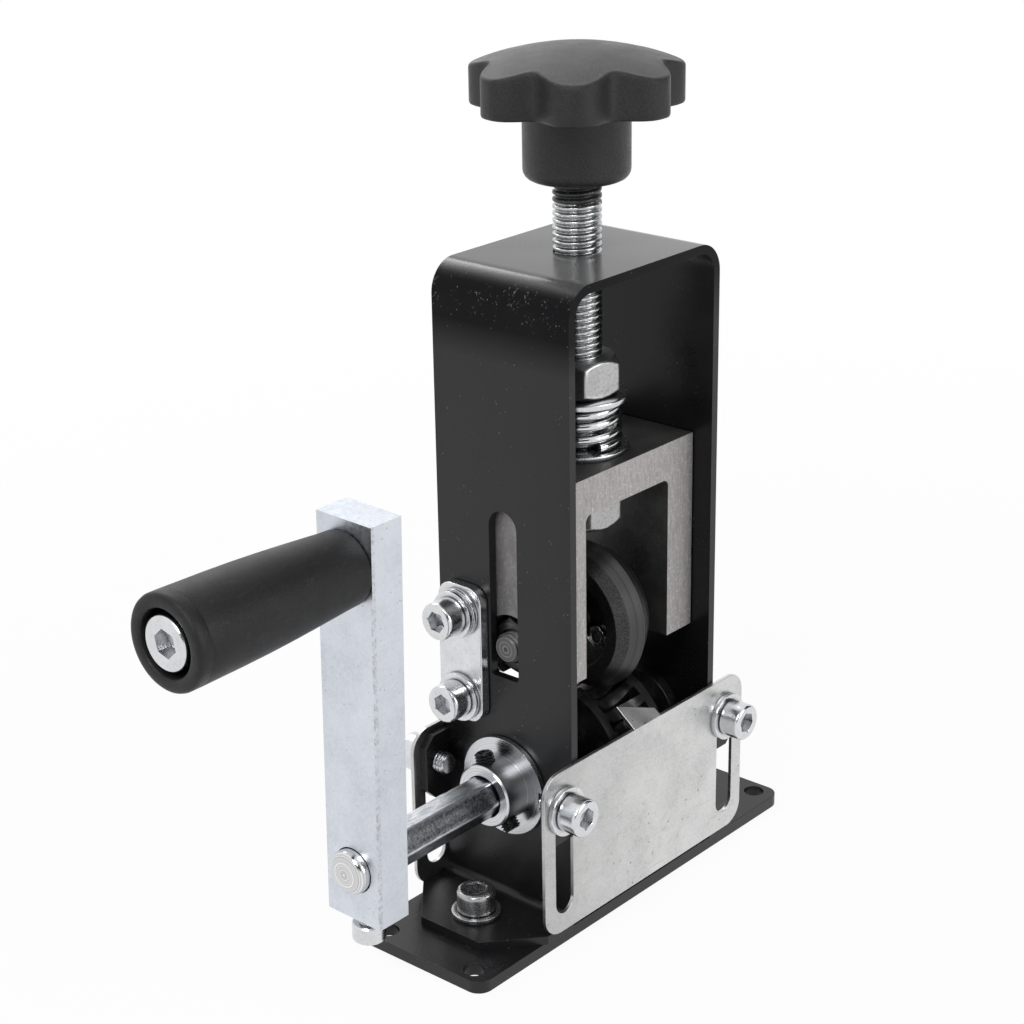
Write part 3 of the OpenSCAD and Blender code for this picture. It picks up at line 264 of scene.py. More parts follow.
class Look:
    """A procedural material with short helpers for its nodes."""

    def __init__(self, name, colour, metallic=0.0, roughness=0.5, specular=0.5):
        self.material = bpy.data.materials.new(name)
        self.material.use_nodes = True
        self.tree = self.material.node_tree
        self.shader = self.tree.nodes["Principled BSDF"]
        self.set("Base Color", (*colour, 1))
        self.set("Metallic", metallic)
        self.set("Roughness", roughness)
        self.set("Specular IOR Level", specular)
        self.space = self.add("ShaderNodeTexCoord").outputs["Object"]

    def set(self, socket, value):
        """A value on the shader's own socket, or a link into it."""
        if isinstance(value, bpy.types.NodeSocket):
            self.tree.links.new(value, self.shader.inputs[socket])
        else:
            self.shader.inputs[socket].default_value = value

    def add(self, kind, **settings):
        node = self.tree.nodes.new(kind)
        for key, value in settings.items():
            setattr(node, key, value)
        return node

    def wire(self, node, socket, value):
        if isinstance(value, bpy.types.NodeSocket):
            self.tree.links.new(value, node.inputs[socket])
        else:
            node.inputs[socket].default_value = value

    def stretch(self, scale, turn=(0, 0, 0)):
        """Coordinates in millimetres, scaled along each axis."""
        node = self.add("ShaderNodeMapping")
        self.wire(node, "Vector", self.space)
        node.inputs["Scale"].default_value = [s / MM for s in scale]
        node.inputs["Rotation"].default_value = [radians(a) for a in turn]
        return node.outputs["Vector"]

    def noise(self, scale, detail=3.0, rough=0.5, space=None):
        """Noise with that many cells to a millimetre, or over given coordinates."""
        node = self.add("ShaderNodeTexNoise")
        self.wire(node, "Vector", space or self.stretch((scale, scale, scale)))
        node.inputs["Scale"].default_value = 1.0
        node.inputs["Detail"].default_value = detail
        node.inputs["Roughness"].default_value = rough
        return node.outputs["Fac"]

    def cells(self, scale):
        """Distance to the nearest of scattered points, with that many to a millimetre."""
        node = self.add("ShaderNodeTexVoronoi")
        self.wire(node, "Vector", self.stretch((scale, scale, scale)))
        node.inputs["Scale"].default_value = 1.0
        return node.outputs["Distance"]

    def span(self, value, start, end, low_out=0.0, high_out=1.0):
        """Value mapped from one span to another and held at its ends."""
        node = self.add("ShaderNodeMapRange")
        self.wire(node, "Value", value)
        node.inputs["From Min"].default_value = start
        node.inputs["From Max"].default_value = end
        node.inputs["To Min"].default_value = low_out
        node.inputs["To Max"].default_value = high_out
        return node.outputs["Result"]

    def fall(self, value, start, end):
        """1 up to the start of a span, 0 beyond its end."""
        return self.span(value, start, end, 1.0, 0.0)

    def maths(self, operation, a, b=0.0):
        node = self.add("ShaderNodeMath", operation=operation)
        self.wire(node, 0, a)
        self.wire(node, 1, b)
        return node.outputs[0]

    def times(self, a, b):
        return self.maths("MULTIPLY", a, b)

    def plus(self, a, b):
        return self.maths("ADD", a, b)

    def larger(self, a, b):
        return self.maths("MAXIMUM", a, b)

    def blend(self, factor, a, b):
        """Colour between a and b."""
        node = self.add("ShaderNodeMix", data_type="RGBA")
        self.wire(node, 0, factor)
        for socket, value in ((6, a), (7, b)):
            self.wire(node, socket, value if isinstance(value, bpy.types.NodeSocket) else (*value, 1))
        return node.outputs[2]

    def place(self, axis):
        """One coordinate of the point, in millimetres."""
        node = self.add("ShaderNodeSeparateXYZ")
        self.wire(node, 0, self.space)
        return self.times(node.outputs[axis], 1 / MM)

    def reach(self, height):
        """Distance in millimetres from a line along X at a height."""
        rise = self.maths("SUBTRACT", self.place("Z"), height)
        side = self.place("Y")
        squares = self.plus(self.times(rise, rise), self.times(side, side))
        return self.maths("SQRT", squares)

    def turning(self, height, fineness):
        """Noise in rings round a line along X at a height, as a lathe or a grinder leaves it."""
        node = self.add("ShaderNodeCombineXYZ")
        self.wire(node, 0, self.times(self.place("X"), fineness))
        self.wire(node, 1, self.times(self.reach(height), fineness))
        return self.noise(1, 4.0, 0.7, node.outputs[0])

    def painted_crevice_shade(self, distance, low_out):
        """Painted shade mask: 1 on open surfaces, falling to a lower value in sockets and corners within
        that distance.
        """
        node = self.add("ShaderNodeAmbientOcclusion", samples=4)
        node.inputs["Distance"].default_value = distance * MM
        return self.span(node.outputs["AO"], 0.25, 0.7, low_out, 1.0)

    def facing(self, axis):
        """One component of the true normal, in the object's own space."""
        geometry = self.add("ShaderNodeNewGeometry")
        turn = self.add("ShaderNodeVectorTransform", vector_type="NORMAL")
        turn.convert_from, turn.convert_to = "WORLD", "OBJECT"
        self.wire(turn, 0, geometry.outputs["Normal"])
        split = self.add("ShaderNodeSeparateXYZ")
        self.wire(split, 0, turn.outputs[0])
        return split.outputs[axis]

    def bump(self, height, depth):
        """Bump from a height of 0 to 1, depth in millimetres."""
        node = self.add("ShaderNodeBump")
        node.inputs["Strength"].default_value = 1.0
        node.inputs["Distance"].default_value = depth * MM
        self.wire(node, "Height", height)
        return node.outputs["Normal"]


def grey(level):
    """A neutral colour."""
    return level, level, level


def scratches(look, density, turn, seed, thin=0.06):
    """Mask of thin straight scratches that lie roughly one way, turned about X, Y and Z in degrees."""
    shift = look.add("ShaderNodeVectorMath", operation="ADD")
    look.wire(shift, 0, look.stretch((thin, 1.9, 1.9), turn))
    shift.inputs[1].default_value = (seed, seed * 1.7, seed * 0.6)
    lines = look.noise(1, 4.0, 0.65, shift.outputs[0])
    return look.span(lines, 0.68 - density * 0.3, 0.74)


def paint_parts(look):
    """Colour, marks and roughness that all the black paint shares; it sets the orange peel."""
    cloud = look.noise(0.05, 4.0, 0.6)
    dust = look.times(look.fall(look.cells(0.5), 0.07, 0.12), look.span(look.noise(0.11, 2.0), 0.5, 0.6))
    scrape = look.times(scratches(look, 0.05, (0, 0, 35), 3.1), look.span(look.noise(0.035, 2.0), 0.5, 0.62))
    marks = look.times(look.larger(dust, scrape), 0.6)
    base = look.blend(cloud, (0.006, 0.006, 0.007), (0.013, 0.013, 0.014))
    grain = look.noise(1.4, 3.0, 0.6)
    rough = look.plus(look.span(cloud, 0.3, 0.7, 0.22, 0.33), look.times(grain, 0.05))
    look.set("Normal", look.bump(grain, 0.02))
    return base, marks, rough


def paint_look():
    """Satin black paint with a little orange peel, dust specks and scratches."""
    look = Look("black_paint", (0.009, 0.009, 0.01), 0.0, 0.3, 0.36)
    base, marks, rough = paint_parts(look)
    look.set("Base Color", look.blend(marks, base, PAINT_DUST))
    look.set("Roughness", rough)
    return look.material


def housing_look(top):
    """The same paint with a lighter grainy top of dust and painted light, chips on the left bend, and
    painted shade on the left bend, the front lips and the inside of the right wall.
    """
    look = Look("housing_paint", (0.009, 0.009, 0.01), 0.0, 0.3, 0.36)
    base, marks, rough = paint_parts(look)
    # Half width of the flat top between the bends, and how far down the bends and the dark lips reach
    flat_half, bend_reach, lip_reach = 22, 13, 22
    x, z = look.place("X"), look.place("Z")
    left = look.fall(x, -flat_half, 2 - flat_half)

    # Dust and painted light: faces that look up near the top get a lighter grainy colour
    upward = look.times(look.span(look.facing("Z"), 0.7, 1.0), look.span(z, top - 5, top))
    dust_and_painted_light = look.span(look.noise(3.0, 4.0, 0.7), 0.3, 0.7, 0.45, 1.0)
    base = look.blend(look.times(upward, dust_and_painted_light), base, grey(0.14))

    chips = look.times(look.span(look.noise(1.3, 3.0, 0.8), 0.61, 0.65),
                       look.span(look.noise(0.3, 2.0), 0.51, 0.57))
    band = look.times(look.span(z, top - bend_reach, top - 8), look.fall(look.facing("X"), -0.85, -0.6))
    band = look.times(look.times(band, left), 2.0)
    marks = look.larger(marks, look.times(chips, band))

    # Painted shade: metal with the near-black colour reflects less, which darkens the front lips, the left
    # bend and the inside of the right wall
    lip = look.times(look.fall(look.facing("Y"), -0.95, -0.8), look.span(z, top - lip_reach, top - 6))
    bend = look.times(look.span(z, top - lip_reach, top - bend_reach), look.fall(look.facing("Z"), 0.6, 0.9))
    bend = look.times(look.times(bend, left), 0.92)
    right = look.span(x, flat_half - 2, flat_half, 0.0, 0.4)
    within = look.times(look.fall(look.facing("X"), -0.9, -0.7), right)
    look.set("Metallic", look.larger(look.larger(lip, bend), within))
    look.set("Base Color", look.blend(marks, base, PAINT_DUST))
    look.set("Roughness", look.times(rough, look.span(upward, 0.0, 1.0, 1.0, 0.6)))
    return look.material


def zinc_look(name="zinc", colour=(0.74, 0.75, 0.77), low_rough=0.16, high_rough=0.30, mottle=0.25):
    """Bright zinc plating with faint clouding, fine marks and painted shade in sockets and corners."""
    look = Look(name, colour, 1.0, 0.22)
    cloud = look.noise(0.25, 4.0, 0.6)
    fine = look.noise(2.2, 3.0, 0.6)
    tint = look.blend(cloud, [c * 0.8 for c in colour], [min(1, c * 1.08) for c in colour])
    spots = look.span(look.noise(1.2, 5.0, 0.75), 0.5, 0.64, 0.0, mottle)
    tint = look.blend(spots, tint, [c * 0.55 for c in colour])
    # Painted shade: the colour darkens in sockets and corners
    look.set("Base Color", look.blend(look.painted_crevice_shade(2.5, 0.0), [c * 0.4 for c in colour], tint))
    look.set("Roughness", look.span(fine, 0.3, 0.75, low_rough, high_rough))
    look.set("Normal", look.bump(fine, 0.01))
    return look.material


def collar_look(height, neck_start, neck_end):
    """Turned and plated steel with fine rings round the shaft and a darker, rougher neck."""
    look = Look("collar_zinc", (0.66, 0.67, 0.69), 1.0, 0.16)
    rings = look.turning(height, 4.0)
    out = look.maths("ABSOLUTE", look.place("X"))
    neck = look.times(look.span(out, neck_start, neck_start + 0.1), look.fall(out, neck_end - 0.2, neck_end))
    bright = look.blend(look.span(rings, 0.35, 0.65), (0.50, 0.51, 0.53), (0.72, 0.73, 0.75))
    # The neck gets a darker colour
    darker_neck_colour = look.blend(look.span(rings, 0.35, 0.65), (0.20, 0.205, 0.21), (0.36, 0.365, 0.375))
    look.set("Base Color", look.blend(neck, bright, darker_neck_colour))
    look.set("Roughness", look.plus(look.span(rings, 0.3, 0.7, 0.18, 0.3), look.times(neck, 0.1)))
    look.set("Normal", look.bump(rings, 0.02))
    return look.material


def shaft_look(height, nose_x):
    """Zinc plating on a drawn hex bar, mottled by rubbing along it, with mottled stains and painted shade on
    the flats that face the front and up, and turned rings on the nose.
    """
    look = Look("shaft_zinc", (0.60, 0.62, 0.65), 1.0, 0.3)
    rubbed = look.noise(1, 6.0, 0.75, look.stretch((0.35, 1.0, 1.0)))
    fine = look.noise(2.4, 4.0, 0.7)
    rings = look.turning(height, 3.0)
    nose = look.fall(look.place("X"), nose_x, nose_x + 0.2)
    base = look.blend(look.span(rubbed, 0.38, 0.6), (0.42, 0.44, 0.48), (0.76, 0.78, 0.81))
    base = look.blend(look.span(fine, 0.5, 0.68, 0.0, 0.6), base, (0.32, 0.34, 0.37))
    # Stains and painted shade: the flats that face the front and up get a dark mottled colour
    front = look.times(look.fall(look.facing("Y"), -0.8, -0.6), look.span(look.facing("Z"), 0.2, 0.4))
    stain = look.span(look.noise(1.3, 6.0, 0.8), 0.42, 0.62)
    stain_and_shade = look.blend(stain, (0.055, 0.06, 0.065), (0.36, 0.38, 0.40))
    base = look.blend(look.times(front, 0.92), base, stain_and_shade)
    turned_end = look.blend(look.span(rings, 0.4, 0.6), (0.46, 0.46, 0.47), (0.84, 0.84, 0.85))
    look.set("Base Color", look.blend(nose, base, turned_end))
    look.set("Roughness", look.blend(nose, grey(0.28), grey(0.14)))
    marks = look.plus(look.times(rings, nose), look.times(fine, 0.6))
    look.set("Normal", look.bump(marks, 0.03))
    return look.material


def axle_look(height):
    """Sawn steel bar end with dull rings."""
    look = Look("axle_steel", grey(0.2), 0.8, 0.45)
    rings = look.turning(height, 4.0)
    look.set("Base Color", look.blend(look.span(rings, 0.4, 0.6), grey(0.05), grey(0.26)))
    look.set("Normal", look.bump(rings, 0.12))
    return look.material


def crank_look(height, lean, edge_x, edge_y):
    """Bluish zinc plating over drawn bar, with dirt along the front edge of the leaning arm."""
    look = Look("crank_zinc", (0.66, 0.71, 0.78), 1.0, 0.34)
    cloud = look.noise(0.07, 5.0, 0.62)
    spots = look.noise(0.9, 5.0, 0.7)
    rub = scratches(look, 0.10, (0, 0, 82), 1.3, 0.05)
    pits = look.times(look.fall(look.cells(0.55), 0.07, 0.13), look.span(look.noise(0.2, 3.0), 0.44, 0.54))
    up = look.times(look.maths("SUBTRACT", look.place("Z"), height), sin(lean))
    side = look.plus(look.times(look.place("Y"), cos(lean)), up)
    line = look.fall(look.maths("ABSOLUTE", look.maths("SUBTRACT", side, edge_y + 0.2)), 0.1, 0.42)
    dotted = look.span(look.noise(0.8, 5.0, 0.8), 0.46, 0.6)
    near = look.fall(look.place("X"), edge_x + 0.8, edge_x + 1.2)
    dirt = look.times(look.times(line, dotted), look.times(near, 0.8))
    base = look.blend(look.span(cloud, 0.3, 0.7), (0.55, 0.585, 0.645), (0.70, 0.735, 0.795))
    mottled = look.blend(look.span(spots, 0.42, 0.62, 0.0, 0.45), base, (0.77, 0.80, 0.845))
    mottled = look.blend(look.times(rub, 0.35), mottled, (0.42, 0.45, 0.50))
    mottled = look.blend(look.times(pits, 0.75), mottled, (0.24, 0.26, 0.30))
    look.set("Base Color", look.blend(dirt, mottled, (0.33, 0.30, 0.27)))
    look.set("Roughness", look.span(spots, 0.3, 0.7, 0.27, 0.44))
    look.set("Normal", look.bump(spots, 0.02))
    return look.material


def guide_look():
    """Satin sheet steel with a fine grain, hazy patches, dirt spots, stray scratches and painted shade
    towards the left end.
    """
    look = Look("guide_steel", (0.60, 0.60, 0.59), 1.0, 0.3)
    grain = look.noise(1.5, 5.0, 0.75)
    cloud = look.noise(0.06, 6.0, 0.7)
    blotch = look.noise(0.28, 5.0, 0.7)
    stray = scratches(look, 0.16, (0, 63, 0), 5.0)
    stray = look.larger(stray, scratches(look, 0.18, (0, -28, 0), 9.0, 0.07))
    stray = look.larger(stray, scratches(look, 0.14, (0, 12, 0), 2.0))
    spots = look.times(look.fall(look.cells(0.35), 0.06, 0.14), look.span(blotch, 0.46, 0.54))
    base = look.blend(look.span(cloud, 0.35, 0.65), grey(0.50), (0.66, 0.66, 0.655))
    base = look.blend(look.span(grain, 0.38, 0.62, 0.0, 0.5), base, (0.78, 0.78, 0.775))
    # Painted shade: the colour darkens towards the left end
    base = look.blend(look.span(look.place("X"), -36, 4, 0.28, 0.0), base, grey(0.30))
    base = look.blend(look.span(blotch, 0.56, 0.72, 0.0, 0.45), base, (0.43, 0.43, 0.425))
    base = look.blend(look.times(stray, 0.55), base, (0.27, 0.27, 0.26))
    look.set("Base Color", look.blend(look.times(spots, 0.8), base, (0.17, 0.17, 0.16)))
    look.set("Roughness", look.span(blotch, 0.3, 0.7, 0.26, 0.42))
    look.set("Normal", look.bump(grain, 0.012))
    return look.material


def carriage_look(half_width):
    """Sawn bar: black scale, half bare on the outer sides, and grey cut faces with cutter lines and pits."""
    look = Look("bar_steel", grey(0.3), 0.6, 0.5)
    cut_face = look.span(look.maths("ABSOLUTE", look.facing("Y")), 0.6, 0.8)
    side_face = look.span(look.maths("ABSOLUTE", look.facing("X")), 0.6, 0.8)
    out = look.maths("ABSOLUTE", look.place("X"))
    outer = look.span(out, half_width - 0.67, half_width - 0.37, 0.0, 0.5)
    bare = look.larger(cut_face, look.times(side_face, outer))
    lines = look.noise(1, 5.0, 0.7, look.stretch((1.6, 0.3, 0.22)))
    pits = look.noise(1.3, 6.0, 0.75)
    cloud = look.noise(0.08, 4.0, 0.6)
    sawn = look.blend(look.span(lines, 0.3, 0.7), (0.31, 0.295, 0.29), (0.48, 0.46, 0.458))
    sawn = look.blend(look.span(pits, 0.53, 0.64, 0.0, 0.75), sawn, (0.68, 0.665, 0.66))
    scale = look.blend(look.span(cloud, 0.35, 0.65), (0.035, 0.035, 0.036), (0.075, 0.074, 0.072))
    scale = look.blend(look.span(pits, 0.58, 0.7, 0.0, 0.35), scale, (0.22, 0.21, 0.20))
    look.set("Base Color", look.blend(bare, scale, sawn))
    look.set("Roughness", look.span(pits, 0.3, 0.7, 0.38, 0.58))
    look.set("Normal", look.bump(look.plus(look.times(lines, 0.5), pits), 0.08))
    return look.material


def oxide_look(name="black_oxide", colour=(0.055, 0.055, 0.058), worn=grey(0.20), rough=(0.26, 0.42)):
    """Blackened steel with rubbed, slightly brighter patches."""
    look = Look(name, colour, 0.85, 0.34)
    cloud = look.noise(0.3, 5.0, 0.62)
    fine = look.noise(2.5, 4.0, 0.65)
    look.set("Base Color", look.blend(look.span(cloud, 0.52, 0.75, 0.0, 0.6), colour, worn))
    look.set("Roughness", look.span(fine, 0.3, 0.7, *rough))
    look.set("Normal", look.bump(fine, 0.012))
    return look.material


def cutter_look(height, shoulder):
    """Blackened cutter whose bevel above the shoulder radius is ground a little brighter."""
    look = Look("cutter_black", (0.045, 0.045, 0.048), 0.85, 0.34)
    radius = look.reach(height)
    rings = look.turning(height, 3.5)
    fine = look.noise(2.5, 4.0, 0.65)
    black = look.blend(look.span(fine, 0.4, 0.66, 0.0, 0.8), (0.028, 0.028, 0.03), grey(0.08))
    steel = look.blend(look.span(rings, 0.35, 0.65), (0.055, 0.055, 0.057), (0.085, 0.085, 0.087))
    ground = look.span(radius, shoulder + 0.05, shoulder + 0.15)
    look.set("Base Color", look.blend(ground, black, steel))
    look.set("Roughness", look.span(fine, 0.3, 0.7, 0.32, 0.46))
    look.set("Normal", look.bump(rings, 0.012))
    return look.material


def knob_look():
    """Moulded black plastic with a fine spark grain, a few scuffs, and dust and painted light that make its
    top lighter than its sides.
    """
    look = Look("knob_plastic", (0.02, 0.02, 0.021), 0.0, 0.4, 0.36)
    grain = look.noise(2.6, 3.0, 0.75)
    cloud = look.noise(0.12, 4.0, 0.6)
    scuff = look.times(look.span(look.noise(1.1, 5.0, 0.75), 0.62, 0.7), look.span(cloud, 0.48, 0.64))
    side = look.blend(look.span(grain, 0.3, 0.7), (0.002, 0.002, 0.003), (0.021, 0.021, 0.022))
    dust_and_top_light = look.blend(look.span(grain, 0.32, 0.68), grey(0.012), grey(0.085))
    # Dust and painted light: faces that look up get the lighter colour, the sides the darker one
    base = look.blend(look.span(look.facing("Z"), 0.6, 0.95), side, dust_and_top_light)
    look.set("Base Color", look.blend(look.times(scuff, 0.5), base, grey(0.10)))
    look.set("Roughness", look.span(cloud, 0.3, 0.7, 0.32, 0.44))
    look.set("Normal", look.bump(grain, 0.16))
    return look.material


def grip_look():
    """Black rubbery plastic with a fine grain and a few rubbed spots."""
    look = Look("grip_plastic", (0.014, 0.014, 0.015), 0.0, 0.42, 0.3)
    grain = look.noise(2.2, 4.0, 0.75)
    streak = look.noise(1, 4.0, 0.65, look.stretch((0.2, 0.6, 0.6)))
    cloud = look.noise(0.1, 4.0, 0.6)
    wear = look.times(look.span(streak, 0.56, 0.68), look.span(grain, 0.45, 0.65))
    base = look.blend(look.span(grain, 0.3, 0.7), grey(0.003), (0.017, 0.017, 0.018))
    look.set("Base Color", look.blend(look.times(wear, 0.3), base, grey(0.09)))
    look.set("Roughness", look.span(cloud, 0.3, 0.7, 0.38, 0.5))
    look.set("Normal", look.bump(grain, 0.09))
    return look.material


def screw_look(paint_z):
    """Zinc-plated thread with painted shade in its roots, and a ragged collar of black paint above a height.
    """
    look = Look("lead_zinc", (0.74, 0.75, 0.77), 1.0, 0.2)
    fine = look.noise(1.4, 4.0, 0.65)
    ragged = look.plus(look.place("Z"), look.times(look.noise(0.28, 3.0, 0.6), 5.0))
    painted = look.span(ragged, paint_z + 2.3, paint_z + 2.6)
    worn = look.times(painted, look.span(fine, 0.62, 0.7, 1.0, 0.2))
    bare = look.blend(look.span(fine, 0.35, 0.65), (0.34, 0.35, 0.36), (0.66, 0.67, 0.68))
    # Painted shade: the colour darkens in the thread roots
    bare = look.blend(look.painted_crevice_shade(1.0, 0.0), grey(0.16), bare)
    look.set("Base Color", look.blend(worn, bare, (0.02, 0.02, 0.021)))
    look.set("Metallic", look.fall(worn, 0.0, 1.0))
    look.set("Roughness", look.span(worn, 0.0, 1.0, 0.25, 0.34))
    look.set("Normal", look.bump(fine, 0.03))
    return look.material


# Places and finishes in use

SHAFT_Z = middle("drive_shaft").z
CUTTER_Z = middle("cutter_blade").z
ARM_LEAN = radians(1.3)
ARM_HALF_WIDTH = 8.7
SHOULDER_RADIUS = 18.7
COLLAR_NECK = (31.7, 39.1)
# The finish of each material slot
LOOKS = {
    "black_paint": paint_look(),
    "zinc": zinc_look(),
    "crank_zinc": crank_look(SHAFT_Z, ARM_LEAN, low("crank_arm").x, -ARM_HALF_WIDTH),
    "guide_steel": guide_look(),
    "bar_steel": carriage_look(high("carriage").x),
    "black_oxide": oxide_look(),
    "knob_plastic": knob_look(),
    "grip_plastic": grip_look(),
}
# Finishes of single pieces
COLLAR = collar_look(SHAFT_Z, *COLLAR_NECK)
SHAFT = shaft_look(SHAFT_Z, low("crank_arm").x - 0.1)
AXLE = axle_look(CUTTER_Z)
CUTTER = cutter_look(CUTTER_Z, SHOULDER_RADIUS)
HOUSING = housing_look(high("housing").z)
NUT = zinc_look("nut_zinc", grey(0.50), 0.28, 0.44, 0.7)
SPRING = zinc_look("spring_wire", (0.72, 0.73, 0.74), 0.1, 0.2)
FOOT = zinc_look("foot_zinc", (0.46, 0.46, 0.47), 0.22, 0.36, 0.6)
SET_BLACK = oxide_look("set_screw_black", (0.035, 0.035, 0.037), grey(0.10), (0.2, 0.34))
# Material slot and body of each CAD node
slot_of = {entry["node"]: entry["material_slot"] for entry in frame["record"]["subparts"]}
body_of = {node: body for body, nodes in frame["record"]["behaviour"]["bodies"].items() for node in nodes}


def dress(obj, look):
    """Gives an object one material."""
    obj.data.materials.clear()
    obj.data.materials.append(look)
    return obj


def stand_for(node, solid, look=None, smooth_angle=40):
    """A detailed piece that takes a CAD node's place and rides on its body."""
    obj = make_mesh(node + "_piece", *solid, smooth_angle)
    dress(obj, look or LOOKS[slot_of[node]])
    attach(obj, body_of[node])
    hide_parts(node)
    return obj


def soften(node, width=0.25, segments=2, angle=30, look=None):
    """Keeps a CAD node, gives it its finish and rounds its hard edges with modifiers."""
    obj = frame["nodes"][node]
    dress(obj, look or LOOKS[slot_of[node]])
    stored = obj.data.attributes.get("custom_normal")
    if stored:
        obj.data.attributes.remove(stored)
    weld = obj.modifiers.new("weld", "WELD")
    weld.merge_threshold = 0.002 * MM
    flat = obj.modifiers.new("flat", "DECIMATE")
    flat.decimate_type = "DISSOLVE"
    flat.angle_limit = radians(1)
    if width:
        edges = obj.modifiers.new("edges", "BEVEL")
        edges.width = width * MM
        edges.segments = segments
        edges.limit_method = "ANGLE"
        edges.angle_limit = radians(angle)
        edges.harden_normals = True
        edges.use_clamp_overlap = True
    for polygon in obj.data.polygons:
        polygon.use_smooth = True
    return obj


# Camera at the photograph's viewpoint

def make_camera():
    """Camera from the measured heading, tilt, roll and place."""
    heading, tilt, roll = 48.921, 21.374, -0.986
    place = Vector((-429.27, -351.34, 321.94))
    focal_pixels, image_pixels, sensor = 2312.65, 1024, 36
    data = bpy.data.cameras.new("camera")
    data.sensor_width = sensor
    data.lens = focal_pixels * sensor / image_pixels
    data.clip_start = 0.01
    camera = bpy.data.objects.new("camera", data)
    scene.collection.objects.link(camera)
    ahead = Vector((cos(radians(tilt)) * sin(radians(heading)), cos(radians(tilt)) * cos(radians(heading)),
                    -sin(radians(tilt))))
    level = Vector((cos(radians(heading)), -sin(radians(heading)), 0))
    upright = level.cross(ahead)
    right = cos(radians(roll)) * level + sin(radians(roll)) * upright
    up = cos(radians(roll)) * upright - sin(radians(roll)) * level
    turn = Matrix((right, up, -ahead)).transposed().to_4x4()
    camera.matrix_world = Matrix.Translation(place * MM) @ turn
    scene.camera = camera


# Lamps, world and floor

def soft_box(name, place, target, size, watts, shade=(1, 1, 1)):
    """Rectangular studio lamp that looks from its place at a target."""
    data = bpy.data.lights.new(name, "AREA")
    data.shape = "RECTANGLE"
    data.size, data.size_y = size[0] * MM, size[1] * MM
    data.energy = watts
    data.color = shade
    lamp = bpy.data.objects.new(name, data)
    scene.collection.objects.link(lamp)
    lamp.location = Vector(place) * MM
    lamp.rotation_euler = (Vector(place) - Vector(target)).to_track_quat("Z", "Y").to_euler()
    return lamp


def make_world():
    """White all round for the camera and in reflections, and a plain grey light on the object."""
    world = bpy.data.worlds.new("world")
    scene.world = world
    world.use_nodes = True
    tree = world.node_tree
    background = tree.nodes["Background"]
    path = tree.nodes.new("ShaderNodeLightPath")

    def larger(a, b):
        node = tree.nodes.new("ShaderNodeMath")
        node.operation = "MAXIMUM"
        tree.links.new(a, node.inputs[0])
        tree.links.new(b, node.inputs[1])
        return node.outputs[0]

    seen = larger(larger(path.outputs["Is Camera Ray"], path.outputs["Is Glossy Ray"]),
                  path.outputs["Is Transmission Ray"])
    mix = tree.nodes.new("ShaderNodeMix")
    mix.data_type = "FLOAT"
    tree.links.new(seen, mix.inputs[0])
    mix.inputs[2].default_value = 0.45
    mix.inputs[3].default_value = 1.0
    tree.links.new(mix.outputs[0], background.inputs["Strength"])
    background.inputs["Color"].default_value = (1, 1, 1, 1)


def make_floor():
    """Pale floor that the camera and reflections see as white and that keeps the shadow."""
    size = 6000
    corners = [(-size, -size, 0), (size, -size, 0), (size, size, 0), (-size, size, 0)]
    floor = make_mesh("floor", corners, [(0, 1, 2, 3)])
    look = Look("floor", (0.9, 0.9, 0.9), 0.0, 0.9, 0.0)
    tree = look.tree
    path = look.add("ShaderNodeLightPath")
    glow = look.add("ShaderNodeEmission")
    mix = look.add("ShaderNodeMixShader")
    seen = look.larger(path.outputs["Is Camera Ray"], path.outputs["Is Glossy Ray"])
    seen = look.larger(seen, path.outputs["Is Transmission Ray"])
    far = look.add("ShaderNodeVectorMath", operation="LENGTH")
    look.wire(far, 0, look.space)
    glow_start, glow_end = 150 * MM, 600 * MM
    share = look.times(seen, look.span(far.outputs["Value"], glow_start, glow_end, 0.93, 1.0))
    look.wire(mix, 0, share)
    tree.links.new(look.shader.outputs[0], mix.inputs[1])
    tree.links.new(glow.outputs[0], mix.inputs[2])
    tree.links.new(mix.outputs[0], tree.nodes["Material Output"].inputs["Surface"])
    dress(floor, look.material)


def make_card(name, centre, width, height):
    """Dark card that only reflections see, turned to the object, for the darker sides of bright metal."""
    away = Vector(centre).normalized()
    level = Vector((-away.y, away.x, 0)).normalized()
    upright = away.cross(level)
    corners = [Vector(centre) + level * a * width / 2 + upright * b * height / 2
               for a, b in ((-1, -1), (1, -1), (1, 1), (-1, 1))]
    card = make_mesh(name, corners, [(0, 1, 2, 3)])
    look = Look(name, (0.02, 0.02, 0.02), 0.0, 1.0, 0.0)
    path = look.add("ShaderNodeLightPath")
    clear = look.add("ShaderNodeBsdfTransparent")
    mix = look.add("ShaderNodeMixShader")
    look.wire(mix, 0, path.outputs["Is Camera Ray"])
    look.tree.links.new(look.shader.outputs[0], mix.inputs[1])
    look.tree.links.new(clear.outputs[0], mix.inputs[2])
    look.tree.links.new(mix.outputs[0], look.tree.nodes["Material Output"].inputs["Surface"])
    dress(card, look.material)


# Pieces

